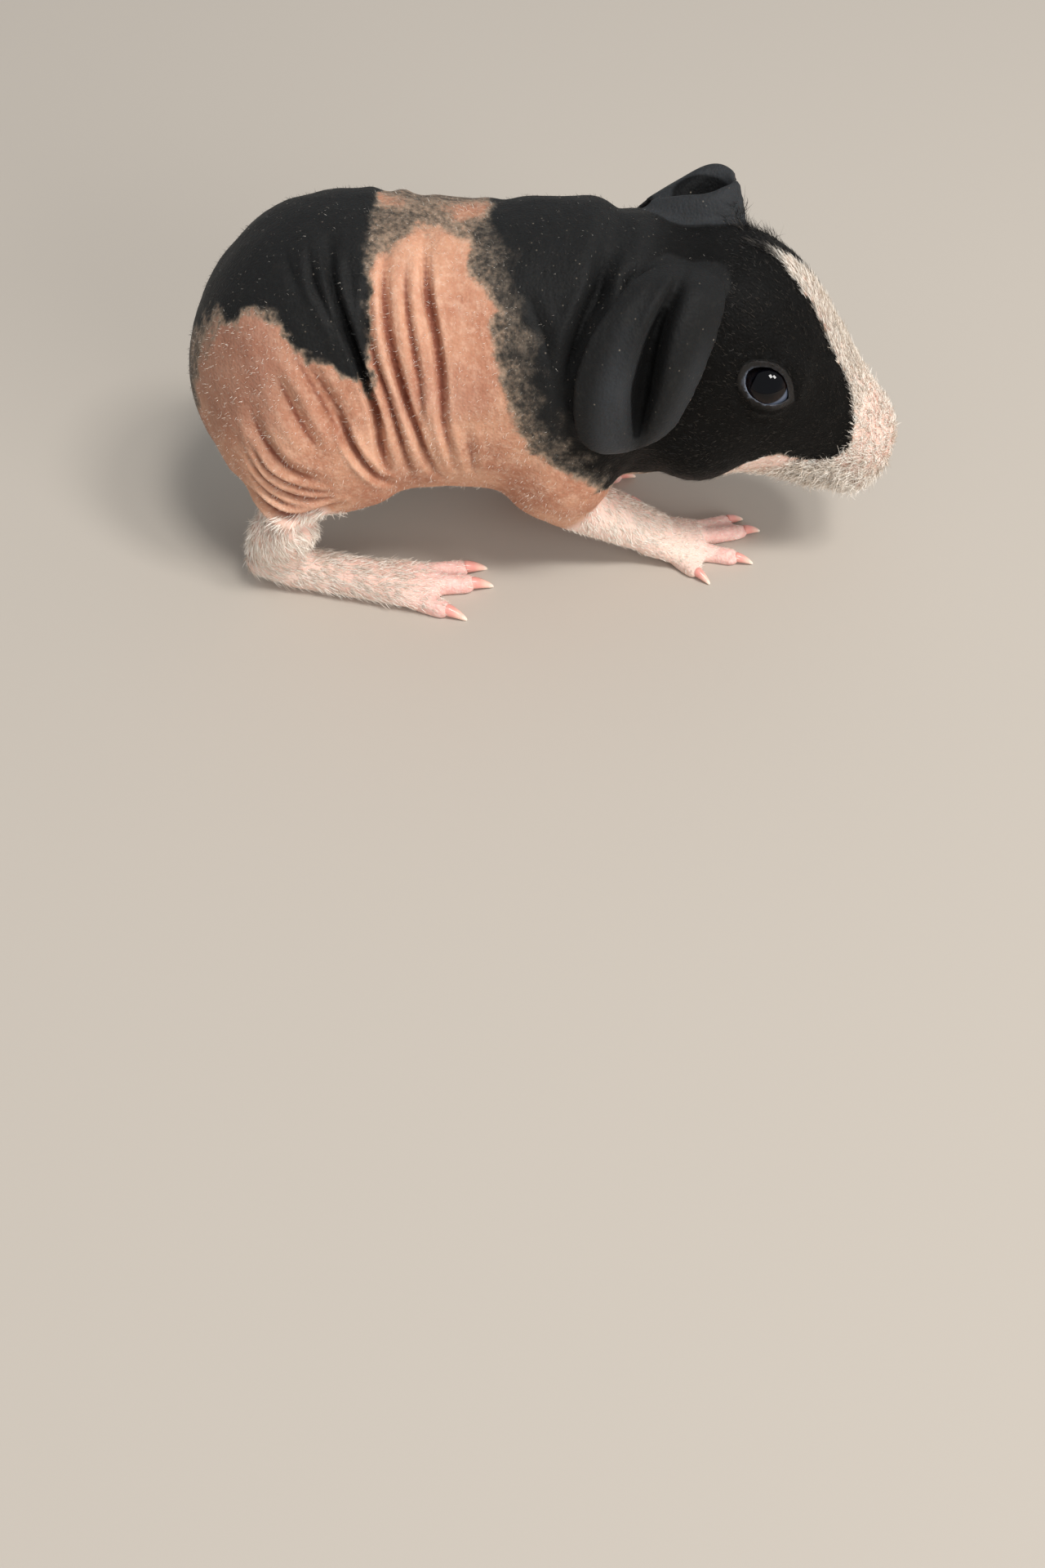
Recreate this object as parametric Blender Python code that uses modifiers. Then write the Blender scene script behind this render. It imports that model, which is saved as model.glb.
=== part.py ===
"""A very young skinny pig, a hairless guinea pig, standing flat-footed with its head lowered.

Life size, in metres. +X points to the nose, +Y to the animal's left and +Z up. The soles stand on Z = 0.
Flesh is modelled as one form from lofts, limbs and rounded masses, fused by a voxel remesh, folded, thinned out
and then parted into named nodes by thin cuts. Ears, eyes and claws are pieces of their own.
"""

import math

import bmesh
import bpy
import numpy as np
from mathutils import Matrix, Vector
from mathutils.bvhtree import BVHTree

MM = 0.001
GAP = 0.32
RIGHT, LEFT = -1, 1

# Driving sizes of the animal, in millimetres: the body is 120 long from rump to nose, about 62 tall at the back.
FORM_TRIANGLES = 6500
CENTRE_SHIFT = (-0.68, -1.36, 0.0)

# Torso: distance along X, height of the centre, half width, size up, size down.
TORSO = (
    (-58.0, 34.0, 4.0, 4.0, 4.0),
    (-56.6, 34.3, 9.0, 8.5, 8.0),
    (-53.5, 35.0, 14.6, 14.0, 13.0),
    (-49.0, 36.0, 18.6, 18.6, 16.5),
    (-43.0, 37.0, 21.0, 22.6, 19.6),
    (-36.5, 38.0, 21.8, 24.0, 21.8),
    (-29.5, 38.6, 21.8, 24.4, 22.8),
    (-22.0, 38.8, 21.2, 23.8, 23.0),
    (-14.0, 38.6, 20.8, 23.0, 22.4),
    (-7.0, 38.2, 21.0, 23.4, 22.4),
    (1.0, 37.8, 21.2, 24.4, 22.4),
    (7.0, 37.8, 20.6, 24.4, 21.2),
    (12.0, 38.4, 19.2, 22.6, 19.0),
    (17.0, 39.4, 17.6, 20.6, 17.0),
    (24.0, 40.4, 15.0, 17.0, 14.0),
)

# Head: distance along its own axis, then centre height, half width, size up and size down across that axis.
HEAD_ROOT = (19.0, 0.0, 42.8)
HEAD_PITCH = 27.0
HEAD_YAW = -5.0
HEAD = (
    (-6.0, 0.0, 13.0, 14.0, 12.0),
    (-2.0, 0.0, 15.6, 17.2, 15.6),
    (4.0, 0.0, 16.6, 20.2, 18.2),
    (10.0, 0.0, 16.8, 20.6, 18.6),
    (16.0, 0.0, 15.8, 19.0, 17.6),
    (22.0, 0.0, 13.8, 15.8, 15.6),
    (28.0, -0.3, 11.4, 12.8, 12.4),
    (34.0, -0.8, 9.2, 10.0, 10.6),
    (39.0, -1.2, 8.2, 8.2, 9.0),
    (42.5, -1.5, 7.0, 6.6, 7.6),
    (44.6, -1.7, 4.6, 4.2, 5.0),
)
EYE_AT = (15.0, 12.2, 7.3)
EYE_LOOK = (0.2, 0.9, 0.4)
EYE_RADIUS = 4.3
LID_RING = (3.95, 3.6, 0.6)

# Folds of skin: side, depth, half width, then distance along X and angle from straight up around the body.
FOLDS = (
    (RIGHT, 1.2, 1.3, ((-30.8, 36), (-27.6, 56), (-25.8, 73), (-25.0, 93), (-24.7, 109))),
    (RIGHT, 0.9, 1.1, ((-26.0, 38), (-24.8, 57), (-23.4, 72), (-21.9, 97), (-21.4, 114))),
    (RIGHT, 1.0, 1.2, ((-23.6, 12), (-22.6, 49), (-21.4, 66), (-19.9, 82), (-18.5, 102), (-17.1, 116))),
    (RIGHT, 0.8, 1.1, ((-17.4, -6), (-17.6, 24), (-16.8, 40), (-15.4, 58), (-14.9, 88))),
    (RIGHT, 0.8, 1.4, ((-32.2, 8), (-31.5, 28))),
    (LEFT, 1.1, 1.3, ((-24.0, 8), (-25.0, 40), (-26.6, 66), (-27.6, 92), (-26.0, 108))),
    (LEFT, 0.9, 1.1, ((-28.6, 20), (-30.4, 48), (-31.4, 70), (-30.6, 90))),
    (LEFT, 0.9, 1.2, ((-19.4, 6), (-20.2, 40), (-21.8, 66), (-22.6, 92), (-21.4, 112))),
    (LEFT, 0.8, 1.2, ((-7.6, 10), (-5.4, 44), (-6.2, 70), (-8.6, 96))),
    (RIGHT, 1.0, 1.8, ((12.4, -20), (10.3, 12), (8.3, 26), (7.4, 40))),
    (LEFT, 1.0, 1.8, ((12.4, 20), (10.3, 34), (7.6, 52), (6.2, 66))),
)

# The right ear hangs: rows from root to tip of its rear edge, the lip of its slit, and its front edge.
EAR_RIGHT = (
    ((17.2, -6.8, 58.6), (20.6, -7.6, 58.6), (26.4, -8.4, 57.6)),
    ((11.4, -14.4, 58.0), (18.8, -14.2, 57.0), (26.6, -13.8, 54.4)),
    ((6.4, -20.4, 52.4), (17.0, -18.6, 52.2), (25.4, -16.8, 50.4)),
    ((5.6, -23.2, 43.4), (15.8, -21.4, 43.6), (22.9, -18.8, 44.4)),
    ((9.6, -22.6, 34.6), (15.6, -21.0, 35.6), (20.4, -19.2, 37.6)),
    ((14.0, -20.6, 32.0), (16.6, -19.8, 32.6), (19.4, -18.8, 34.2)),
)
EAR_THICK = 0.85
EAR_SLIT = (0.13, 3.4)
EAR_BULGE = (1.9, 1.5)

# The left ear is a cup that opens upwards and backwards, with an outer wall that rolls over and hangs.
EAR_LEFT_ROOT = (27.0, 10.4, 55.6)
EAR_LEFT_AXES = ((0.93, -0.18, -0.32), (0.22, 0.66, -0.66), (-0.2, 0.5, 0.84))
EAR_LEFT_OVAL = (5.6, 3.8)
EAR_LEFT_WALL = (5.0, 1.5, 23.0)


def linear(colour):
    """An sRGB colour of 0 to 255 as the linear values that materials take."""
    return [(((c / 255) + 0.055) / 1.055) ** 2.4 if c > 10 else c / 255 / 12.92 for c in colour]


def material(name, colour, roughness):
    made = bpy.data.materials.new(name)
    made.use_nodes = True
    made.diffuse_color = (*linear(colour), 1)
    shader = made.node_tree.nodes["Principled BSDF"]
    shader.inputs["Base Color"].default_value = (*linear(colour), 1)
    shader.inputs["Roughness"].default_value = roughness
    shader.inputs["Metallic"].default_value = 0
    return made


def clear_scene():
    for old in list(bpy.data.objects):
        bpy.data.objects.remove(old)


def link(name, mesh, collection):
    made = bpy.data.objects.new(name, mesh)
    collection.objects.link(made)
    return made


def closed_mesh(name, rings):
    """A closed mesh through rings of points, with a rounded cap point at each end."""
    mesh = bmesh.new()
    loops = [[mesh.verts.new(p) for p in ring] for ring in rings]
    sides = len(loops[0])
    for near, far in zip(loops, loops[1:]):
        for i in range(sides):
            j = (i + 1) % sides
            mesh.faces.new((near[i], near[j], far[j], far[i]))
    for loop in (loops[0], loops[-1]):
        middle = mesh.verts.new(sum((v.co for v in loop), Vector()) / sides)
        for i in range(sides):
            mesh.faces.new((loop[i], loop[(i + 1) % sides], middle))
    bmesh.ops.recalc_face_normals(mesh, faces=mesh.faces)
    made = bpy.data.meshes.new(name)
    mesh.to_mesh(made)
    mesh.free()
    return made


def row_at(rows, s):
    """The row at distance s, read smoothly from rows that start with their distance."""
    last = len(rows) - 1
    i = max(k for k in range(last) if rows[k][0] <= s or k == 0)
    near, far = rows[i], rows[i + 1]
    before, after = rows[max(i - 1, 0)], rows[min(i + 2, last)]
    span = far[0] - near[0]
    t = (s - near[0]) / span
    h = (2 * t**3 - 3 * t**2 + 1, t**3 - 2 * t**2 + t, 3 * t**2 - 2 * t**3, t**3 - t**2)
    found = []
    for b, n, f, a in zip(before, near, far, after):
        out = (f - b) / (far[0] - before[0]) * span
        into = (a - n) / (after[0] - near[0]) * span
        found.append(h[0] * n + h[1] * out + h[2] * f + h[3] * into)
    return found


def spread(first, last, step):
    """Evenly spaced distances from first to last, about step apart."""
    count = max(2, round((last - first) / step))
    return [first + (last - first) * i / count for i in range(count + 1)]


def oval(centre, across, lift, half, up, down, sides=40, fullness=2.15):
    """A rounded cross-section: an ellipse made a little fuller, with its own size above and below."""
    points = []
    for i in range(sides):
        turn = 2 * math.pi * i / sides
        c, s = math.cos(turn), math.sin(turn)
        side = math.copysign(abs(c) ** (2 / fullness), c) * half
        rise = math.copysign(abs(s) ** (2 / fullness), s) * (up if s > 0 else down)
        points.append(centre + across * side + lift * rise)
    return points


def torso_form(forms):
    rings = []
    for s in spread(TORSO[0][0], TORSO[-1][0], 1.5):
        x, z, half, up, down = row_at(TORSO, s)
        rings.append(oval(Vector((x, 0, z)) * MM, Vector((0, 1, 0)), Vector((0, 0, 1)),
                          half * MM, up * MM, down * MM))
    link("torso_form", closed_mesh("torso_form", rings), forms)


def head_matrix():
    """From the head's own frame, in metres: X to the nose, Y to the left, Z over the crown."""
    turn = Matrix.Rotation(math.radians(HEAD_YAW), 4, "Z") @ Matrix.Rotation(math.radians(HEAD_PITCH), 4, "Y")
    return Matrix.Translation(Vector(HEAD_ROOT) * MM) @ turn


def ellipsoid(name, centre, radii, collection, turn=(0, 0, 0), inside=None, around=24):
    """A rounded mass: a sphere stretched to radii, turned in degrees, placed in the head's frame or the world's."""
    mesh = bmesh.new()
    bmesh.ops.create_uvsphere(mesh, u_segments=around, v_segments=around * 5 // 8, radius=1)
    place = Matrix.Translation(Vector(centre) * MM)
    for axis, degrees in zip("XYZ", turn):
        place = place @ Matrix.Rotation(math.radians(degrees), 4, axis)
    place = (inside or Matrix()) @ place @ Matrix.Diagonal((*[r * MM for r in radii], 1))
    mesh.transform(place)
    made = bpy.data.meshes.new(name)
    mesh.to_mesh(made)
    mesh.free()
    return link(name, made, collection)


def head_form(forms):
    frame = head_matrix()
    across, lift = frame.to_3x3() @ Vector((0, 1, 0)), frame.to_3x3() @ Vector((0, 0, 1))
    rings = []
    for s in spread(HEAD[0][0], HEAD[-1][0], 1.2):
        x, z, half, up, down = row_at(HEAD, s)
        rings.append(oval(frame @ (Vector((x, 0, z)) * MM), across, lift,
                          half * MM, up * MM, down * MM, fullness=2.1))
    link("head_form", closed_mesh("head_form", rings), forms)
    for side in (RIGHT, LEFT):
        eye = (EYE_AT[0], EYE_AT[1] * side, EYE_AT[2])
        ellipsoid(f"brow_{side}", (eye[0], eye[1] - 1.0 * side, eye[2]), (7.6, 3.8, 6.8), forms, inside=frame)
        ellipsoid(f"cheek_{side}", (11, 9.6 * side, -7), (10, 8.6, 9), forms, inside=frame)
        ellipsoid(f"whisker_pad_{side}", (38.5, 3.6 * side, -1.2), (5.8, 5.4, 6.0), forms, inside=frame)
    ellipsoid("chin_form", (35.5, 0, -9.2), (6.0, 4.6, 3.4), forms, inside=frame)


def limb(name, stations, forms, sides=20):
    """A limb through stations of X, Y, Z, half width and half thickness, in millimetres. Its width lies along Y."""
    rings = []
    places = [Vector(s[:3]) for s in stations]
    for i, station in enumerate(stations):
        ahead = places[min(i + 1, len(places) - 1)] - places[max(i - 1, 0)]
        across = Vector((0, 1, 0)) - ahead * (ahead.y / ahead.length_squared)
        across.normalize()
        lift = ahead.cross(across).normalized()
        rings.append(oval(places[i] * MM, across, lift, station[3] * MM, station[4] * MM, station[4] * MM,
                          sides=sides, fullness=2))
    link(name, closed_mesh(name, rings), forms)


def smooth_stations(stations, count):
    """More stations, read smoothly between a few."""
    numbered = [(k, *row) for k, row in enumerate(stations)]
    last = len(stations) - 1
    return [row_at(numbered, last * i / (count - 1))[1:] for i in range(count)]


# Hind leg of the right side, mirrored for the left: a haunch, a shank that drops to the hock, and a long flat foot.
HAUNCH = ((-36.0, -12.5, 33.0), (17.6, 11.0, 18.0))
KNEE = ((-39.0, -16.5, 22.5), (8.6, 6.5, 7.0))
SHANK = (
    (-41.0, -16.6, 21.0, 6.4, 8.6),
    (-43.2, -17.6, 16.0, 5.0, 6.6),
    (-44.8, -18.2, 11.0, 4.2, 5.4),
    (-46.4, -18.6, 6.8, 4.0, 4.9),
    (-47.2, -18.6, 4.2, 3.6, 4.0),
)
HIND_FOOT = (
    (-51.6, -18.6, 4.8, 1.4, 1.6),
    (-50.4, -18.6, 4.6, 3.0, 3.6),
    (-46.5, -18.6, 4.0, 4.0, 4.0),
    (-38.0, -18.8, 3.2, 3.8, 3.2),
    (-30.0, -18.6, 2.8, 4.1, 2.8),
    (-23.0, -18.2, 2.5, 5.2, 2.4),
    (-18.0, -17.8, 2.1, 5.0, 1.9),
)
# How far the soles are let into the floor before they are cut flat.
SOLE_SINK = 0.45
# Toes: base X and Y, tip X and Y, and half thickness.
HIND_TOES = (
    ("outer", (-22.0, -21.2), (-15.6, -23.4), 1.85),
    ("middle", (-20.5, -17.6), (-11.4, -16.6), 1.95),
    ("inner", (-21.0, -14.4), (-12.6, -12.4), 1.7),
)

# Foreleg of the right side.
SHOULDER = ((2.5, -12.6, 28.5), (11.0, 8.4, 14.5))
UPPER_ARM = (
    (1.5, -13.4, 26.0, 6.0, 8.5),
    (3.2, -12.6, 20.0, 5.4, 7.0),
    (5.4, -11.2, 15.6, 4.8, 5.6),
)
FOREARM = (
    (3.4, -11.0, 16.4, 4.6, 5.0),
    (8.0, -9.8, 13.4, 4.8, 4.8),
    (14.0, -8.2, 9.0, 4.5, 4.2),
    (19.0, -7.0, 5.6, 4.6, 3.5),
    (22.0, -6.6, 4.0, 4.9, 3.0),
)
FOREFOOT = (
    (18.0, -7.0, 5.0, 4.0, 3.0),
    (21.0, -6.6, 3.9, 4.8, 2.9),
    (25.0, -6.2, 2.9, 5.6, 2.5),
    (29.0, -5.8, 2.3, 5.4, 2.1),
)
FORE_TOES = (
    ("first", (27.5, -2.2), (35.0, 1.0), 1.5),
    ("second", (28.0, -4.6), (37.8, -1.8), 1.6),
    ("third", (27.5, -7.6), (35.8, -9.2), 1.7),
    ("fourth", (24.5, -9.6), (28.4, -13.2), 1.6),
)
# The left foreleg is drawn back under the chest: how far it lies from the mirror image of the right one.
FORELEG_LEFT_BACK = (-20.5, 3.5)
HIND_LEFT_OUT = (0.0, 2.6)


def mirrored(row, side, back=(0.0, 0.0), share=1.0):
    """A station of the right side as it lies on this side. Back moves a station of the left side."""
    if side == RIGHT:
        return tuple(row)
    return (row[0] + back[0] * share, -row[1] + back[1] * share, *row[2:])


def toe(name, base, tip, half, side, back, forms):
    """A toe that lies flat: it swells at the knuckle and at the pad, and narrows to the claw."""
    (bx, by), (tx, ty) = base, tip
    stations = []
    for t, width, rise in ((0, 0.9, 1.05), (0.3, 1.0, 1.12), (0.6, 0.96, 1.0), (0.85, 0.98, 0.95), (1, 0.6, 0.7)):
        place = mirrored((bx + (tx - bx) * t, by + (ty - by) * t), side, back)
        stations.append((*place, half * rise * 0.94 - SOLE_SINK, half * width, half * rise))
    limb(name, smooth_stations(stations, 9), forms, sides=14)


def feet(side):
    """Each toe of this side: its name, base, tip, half thickness and shift."""
    for name, base, tip, half in HIND_TOES:
        yield f"hind_{name}", base, tip, half, HIND_LEFT_OUT
    for name, base, tip, half in FORE_TOES:
        yield f"fore_{name}", base, tip, half, FORELEG_LEFT_BACK


def trunk_forms(forms):
    torso_form(forms)
    head_form(forms)
    for side in (RIGHT, LEFT):
        ellipsoid(f"haunch_{side}", mirrored(HAUNCH[0], side), HAUNCH[1], forms)
        ellipsoid(f"knee_{side}", mirrored(KNEE[0], side), KNEE[1], forms)
        ellipsoid(f"shoulder_{side}", mirrored(SHOULDER[0], side, (-5.0, 0.0)), SHOULDER[1], forms)
    ellipsoid("throat", (16.0, -3.0, 28.0), (9.0, 11.5, 9.0), forms)


def leg_forms(side, forms):
    back = FORELEG_LEFT_BACK
    out = HIND_LEFT_OUT
    leg = [mirrored(r, side, out, share) for r, share in zip(SHANK, (0.2, 0.5, 0.8, 1.0, 1.0))]
    limb(f"shank_{side}", smooth_stations(leg, 12), forms)
    sole = [mirrored((x, y, z - SOLE_SINK, *sizes), side, out) for x, y, z, *sizes in HIND_FOOT]
    limb(f"hind_foot_{side}", smooth_stations(sole, 20), forms)
    arm = [mirrored(r, side, back, share) for r, share in zip(UPPER_ARM, (0.2, 0.35, 0.5))]
    limb(f"upper_arm_{side}", smooth_stations(arm, 9), forms)
    arm = [mirrored(r, side, back, share) for r, share in zip(FOREARM, (0.45, 0.62, 0.85, 1.0, 1.0))]
    limb(f"forearm_{side}", smooth_stations(arm, 12), forms)
    sole = [mirrored((x, y, z - SOLE_SINK, *sizes), side, back) for x, y, z, *sizes in FOREFOOT]
    limb(f"forefoot_{side}", smooth_stations(sole, 10), forms)
    for name, base, tip, half, shift in feet(side):
        toe(f"{name}_{side}", base, tip, half, side, shift, forms)


def evaluated(obj, name):
    """The mesh that an object's modifiers make, as a mesh of its own."""
    bpy.context.view_layer.update()
    made = bpy.data.meshes.new_from_object(obj.evaluated_get(bpy.context.evaluated_depsgraph_get()))
    made.name = name
    return made


def fused(parts, name, voxel, rounds, forms):
    """All the parts as one closed skin: joined, remeshed and smoothed."""
    mesh = bmesh.new()
    for part in parts:
        mesh.from_mesh(part)
    joined = bpy.data.meshes.new(name)
    mesh.to_mesh(joined)
    mesh.free()
    body = link(name, joined, forms)
    remesh = body.modifiers.new("one skin", "REMESH")
    remesh.mode = "VOXEL"
    remesh.voxel_size = voxel * MM
    smooth = body.modifiers.new("soften joins", "SMOOTH")
    smooth.factor, smooth.iterations = 0.5, rounds
    made = evaluated(body, name)
    body.hide_render = True
    body.hide_set(True)
    return made


def points_of(mesh):
    flat = np.empty(len(mesh.vertices) * 3, np.float32)
    mesh.vertices.foreach_get("co", flat)
    return flat.reshape(-1, 3).astype(float)


def normals_of(mesh):
    flat = np.empty(len(mesh.vertices) * 3, np.float32)
    mesh.vertex_normals.foreach_get("vector", flat)
    return flat.reshape(-1, 3).astype(float)


def smooth_line(points, step):
    """More points along a line through a few, about step apart, by the same smooth reading."""
    numbered = [(k, *p) for k, p in enumerate(points)]
    long = sum(math.dist(a, b) for a, b in zip(points, points[1:]))
    count = max(4, round(long / step))
    last = len(points) - 1
    return np.array([row_at(numbered, last * i / count)[1:] for i in range(count + 1)])


def fold_line(tree, side, stations):
    """Points on the skin for a fold, each found by a ray out from the body's axis."""
    found = []
    for x, angle in smooth_line(stations, 3.0):
        turn = math.radians(angle)
        start = Vector((x, 0, 38.0)) * MM
        aim = Vector((0, side * math.sin(turn), math.cos(turn)))
        place = tree.ray_cast(start, aim)[0]
        if place is not None:
            found.append(np.array(place) / MM)
    return np.array(found)


def fold_skin(mesh):
    """Presses each fold into the skin as a groove with a low roll on either side."""
    tree = BVHTree.FromPolygons(
        [v.co for v in mesh.vertices], [tuple(p.vertices) for p in mesh.polygons])
    points, normals = points_of(mesh) / MM, normals_of(mesh)
    move = np.zeros(len(points))
    for side, depth, half, stations in FOLDS:
        line = smooth_line([tuple(p) for p in fold_line(tree, side, stations)], 0.8)
        near = np.flatnonzero(
            ((points > line.min(0) - 4 * half) & (points < line.max(0) + 4 * half)).all(1))
        away = np.linalg.norm(points[near, None] - line[None], axis=2)
        best = away.argmin(1)
        fade = np.sin(np.pi * np.clip(best / (len(line) - 1), 0.02, 0.98)) ** 0.5
        reach = away.min(1) / half
        move[near] += fade * depth * (-np.exp(-reach**2) + 0.45 * np.exp(-((reach - 2.0) / 0.8) ** 2))
    points += normals * move[:, None]
    mesh.vertices.foreach_set("co", (points * MM).astype(np.float32).ravel())


def thinned(mesh, forms):
    """The skin with fewer triangles, and with every sole flat on the floor."""
    body = link("body_form", mesh, forms)
    thin = body.modifiers.new("fewer triangles", "DECIMATE")
    triangles = sum(len(p.vertices) - 2 for p in mesh.polygons)
    thin.ratio = FORM_TRIANGLES / triangles
    thin.use_collapse_triangulate = True
    floor = box("below_the_floor", (-90, -60, -9), (90, 60, 0), forms)
    boolean(body, "DIFFERENCE", floor)
    return evaluated(body, "body_form"), body


def box(name, low, high, collection):
    mesh = bmesh.new()
    bmesh.ops.create_cube(mesh, size=1)
    low, high = Vector(low) * MM, Vector(high) * MM
    mesh.transform(Matrix.Translation((low + high) / 2) @ Matrix.Diagonal((*(high - low), 1)))
    made = bpy.data.meshes.new(name)
    mesh.to_mesh(made)
    mesh.free()
    cutter = link(name, made, collection)
    hide(cutter)
    return cutter


def hide(cutter):
    cutter.hide_render = True
    cutter.display_type = "WIRE"
    cutter.hide_set(True)


def boolean(obj, operation, other):
    cut = obj.modifiers.new(f"{operation.lower()} {other.name}", "BOOLEAN")
    cut.operation, cut.solver, cut.object = operation, "MANIFOLD", other


def eye_frame(side):
    """From an eye's own frame, in metres, with Z looking out of the socket."""
    look = Vector((EYE_LOOK[0], EYE_LOOK[1] * side, EYE_LOOK[2])).normalized()
    forward = (Vector((1, 0, 0)) - look * look.x).normalized()
    place = Vector((EYE_AT[0], EYE_AT[1] * side, EYE_AT[2])) * MM
    axes = Matrix((forward, look.cross(forward), look)).transposed().to_4x4()
    return head_matrix() @ Matrix.Translation(place) @ axes


def ring(name, frame, wide, tall, thick, height, collection, around=18, sides=6):
    """A ring like a tyre, wide along X and tall along Y of its frame."""
    rows = []
    for i in range(around):
        turn = 2 * math.pi * i / around
        out = Vector((math.cos(turn), math.sin(turn), 0))
        middle = Vector((out.x * wide, out.y * tall, height))
        rows.append([
            frame @ ((middle + (out * math.cos(a) + Vector((0, 0, math.sin(a)))) * thick) * MM)
            for a in (2 * math.pi * k / sides for k in range(sides))])
    mesh = bmesh.new()
    loops = [[mesh.verts.new(p) for p in row] for row in rows]
    for near, far in zip(loops, loops[1:] + loops[:1]):
        for i in range(sides):
            j = (i + 1) % sides
            mesh.faces.new((near[i], near[j], far[j], far[i]))
    bmesh.ops.recalc_face_normals(mesh, faces=mesh.faces)
    made = bpy.data.meshes.new(name)
    mesh.to_mesh(made)
    mesh.free()
    return link(name, made, collection)


def tube(name, line, thick, collection, sides=5):
    """A closed tube along a line of points in metres, its ends drawn to a point."""
    rings = []
    places = [Vector(p) for p in line]
    last = len(places) - 1
    across = None
    for i, place in enumerate(places):
        ahead = (places[min(i + 1, last)] - places[max(i - 1, 0)]).normalized()
        across = ahead.orthogonal() if across is None else across - ahead * across.dot(ahead)
        across.normalize()
        lift = ahead.cross(across)
        size = thick * MM * min(1.0, 0.35 + 2.0 * min(i, last - i) / last * 1.6)
        rings.append([
            place + (across * math.cos(a) + lift * math.sin(a)) * size
            for a in (2 * math.pi * k / sides for k in range(sides))])
    return link(name, closed_mesh(name, rings), collection)


def mouth_line(tree, drop):
    """Points on the muzzle for the mouth: it runs back from under the nose along both sides. Drop moves it down."""
    frame = head_matrix()
    found = []
    for k in range(-6, 7):
        turn = math.radians(k * 17.2)
        rise = -4.6 - drop - 1.7 * (1 - abs(k) / 6) ** 2 + 1.1 * (abs(k) / 6) ** 3
        start = frame @ (Vector((36.0, 0, rise)) * MM)
        aim = frame.to_3x3() @ Vector((math.cos(turn) * 1.25, math.sin(turn), -0.12))
        place = tree.ray_cast(start, aim.normalized())[0]
        if place is not None:
            found.append(place)
    return found


def face_details(body, forms):
    """Lids and lips are joined on, and the sockets, the line of the mouth and the nostrils are cut in."""
    mesh = evaluated(body, "face_guide")
    tree = BVHTree.FromPolygons([v.co for v in mesh.vertices], [tuple(p.vertices) for p in mesh.polygons])
    frame = head_matrix()
    for side in (RIGHT, LEFT):
        wide, tall, thick = LID_RING
        height = math.sqrt(EYE_RADIUS**2 - wide * tall) + 0.55
        lids = ring(f"lids_{side}", eye_frame(side), wide, tall, thick, height, forms)
        hide(lids)
        boolean(body, "UNION", lids)
    for name, drop in (("upper_lip", -0.95), ("lower_lip", 0.95)):
        lip = tube(name, mouth_line(tree, drop), 0.62, forms)
        hide(lip)
        boolean(body, "UNION", lip)
    for side in (RIGHT, LEFT):
        socket = ellipsoid(f"socket_{side}", (0, 0, 0), [EYE_RADIUS + GAP] * 3, forms,
                           inside=eye_frame(side), around=20)
        hide(socket)
        boolean(body, "DIFFERENCE", socket)
        nostril = ellipsoid(
            f"nostril_{side}", (43.3, 2.5 * side, 0.4), (1.5, 0.62, 1.25), forms,
            turn=(38 * side, -20, 40 * side), inside=frame, around=14)
        hide(nostril)
        boolean(body, "DIFFERENCE", nostril)
    mouth = tube("mouth", mouth_line(tree, 0.0), 0.5, forms)
    hide(mouth)
    boolean(body, "DIFFERENCE", mouth)


def zone(name, side, grow, forms):
    """The space that a node takes up, grown or shrunk by half a gap."""
    low_high = {
        "forefoot": ((20.0, 45.0), (-20.0, 7.0), (-1.0, 9.6)),
        "forearm": ((-8.0, 24.0), (-24.0, -0.6), (-1.0, 15.0)),
        "hind_foot": ((-60.0, -9.6), (-34.0, -8.0), (-1.0, 6.6)),
        "shank": ((-60.0, -27.0), (-34.0, -10.4), (6.6, 17.0)),
    }
    ovals = {
        "upper_arm": ((4.0, -17.0, 21.6), (10.4, 10.6, 12.4)),
        "thigh": ((-38.2, -18.4, 30.0), (17.0, 12.5, 19.5)),
    }
    if name in ovals:
        centre, radii = ovals[name]
        centre = mirrored(centre, side, (-7.0, 1.0) if name == "upper_arm" else (0.0, 0.0))
        made = ellipsoid(f"zone_{name}_{side}_{grow}", centre, [r + grow for r in radii], forms, around=18)
    else:
        x, y, z = low_high[name]
        if side == LEFT:
            back = FORELEG_LEFT_BACK if name.startswith("fore") else (0.0, 0.0)
            x, y = (x[0] + back[0], x[1] + back[0]), (-y[1], -y[0])
            x = (-10.6, x[1]) if name == "forearm" else x
            x = (x[0], 19.4) if name == "forefoot" else x
            y = {"forefoot": (0.8, 34.0), "forearm": (0.6, 34.0)}.get(name, y)
        low = (x[0] - grow, y[0] - grow, z[0] - grow)
        made = box(f"zone_{name}_{side}_{grow}", low, (x[1] + grow, y[1] + grow, z[1] + grow), forms)
    hide(made)
    return made


def front_of(name, point, normal, grow, forms):
    """The space ahead of an upright plane that leans, as a large box."""
    aim = Vector(normal).normalized()
    across = Vector((0, 1, 0))
    axes = Matrix((aim, across, aim.cross(across))).transposed().to_4x4()
    made = box(f"{name}_{grow}", (-grow, -60, -90), (120, 60, 90), forms)
    made.data.transform(Matrix.Translation(Vector(point) * MM) @ axes)
    hide(made)
    return made


NECK_BACK = ((10.6, 0, 45), (0.99, 0, 0.12))
NECK_FRONT = ((20.5, 0, 44), (0.97, 0, -0.22))


def node(name, mesh, steps, colour, roughness=0.6):
    """A named piece of the animal, cut from a mesh by spaces to keep and spaces to leave out."""
    made = link(name, mesh.copy(), bpy.context.scene.collection)
    made.data.name = name
    made.data.materials.clear()
    made.data.materials.append(material(f"{name}_surface", colour, roughness))
    for operation, cutter in steps:
        boolean(made, operation, cutter)
    return made


PEACH, DARK, PALE = (218, 174, 146), (44, 43, 42), (222, 192, 176)


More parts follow.
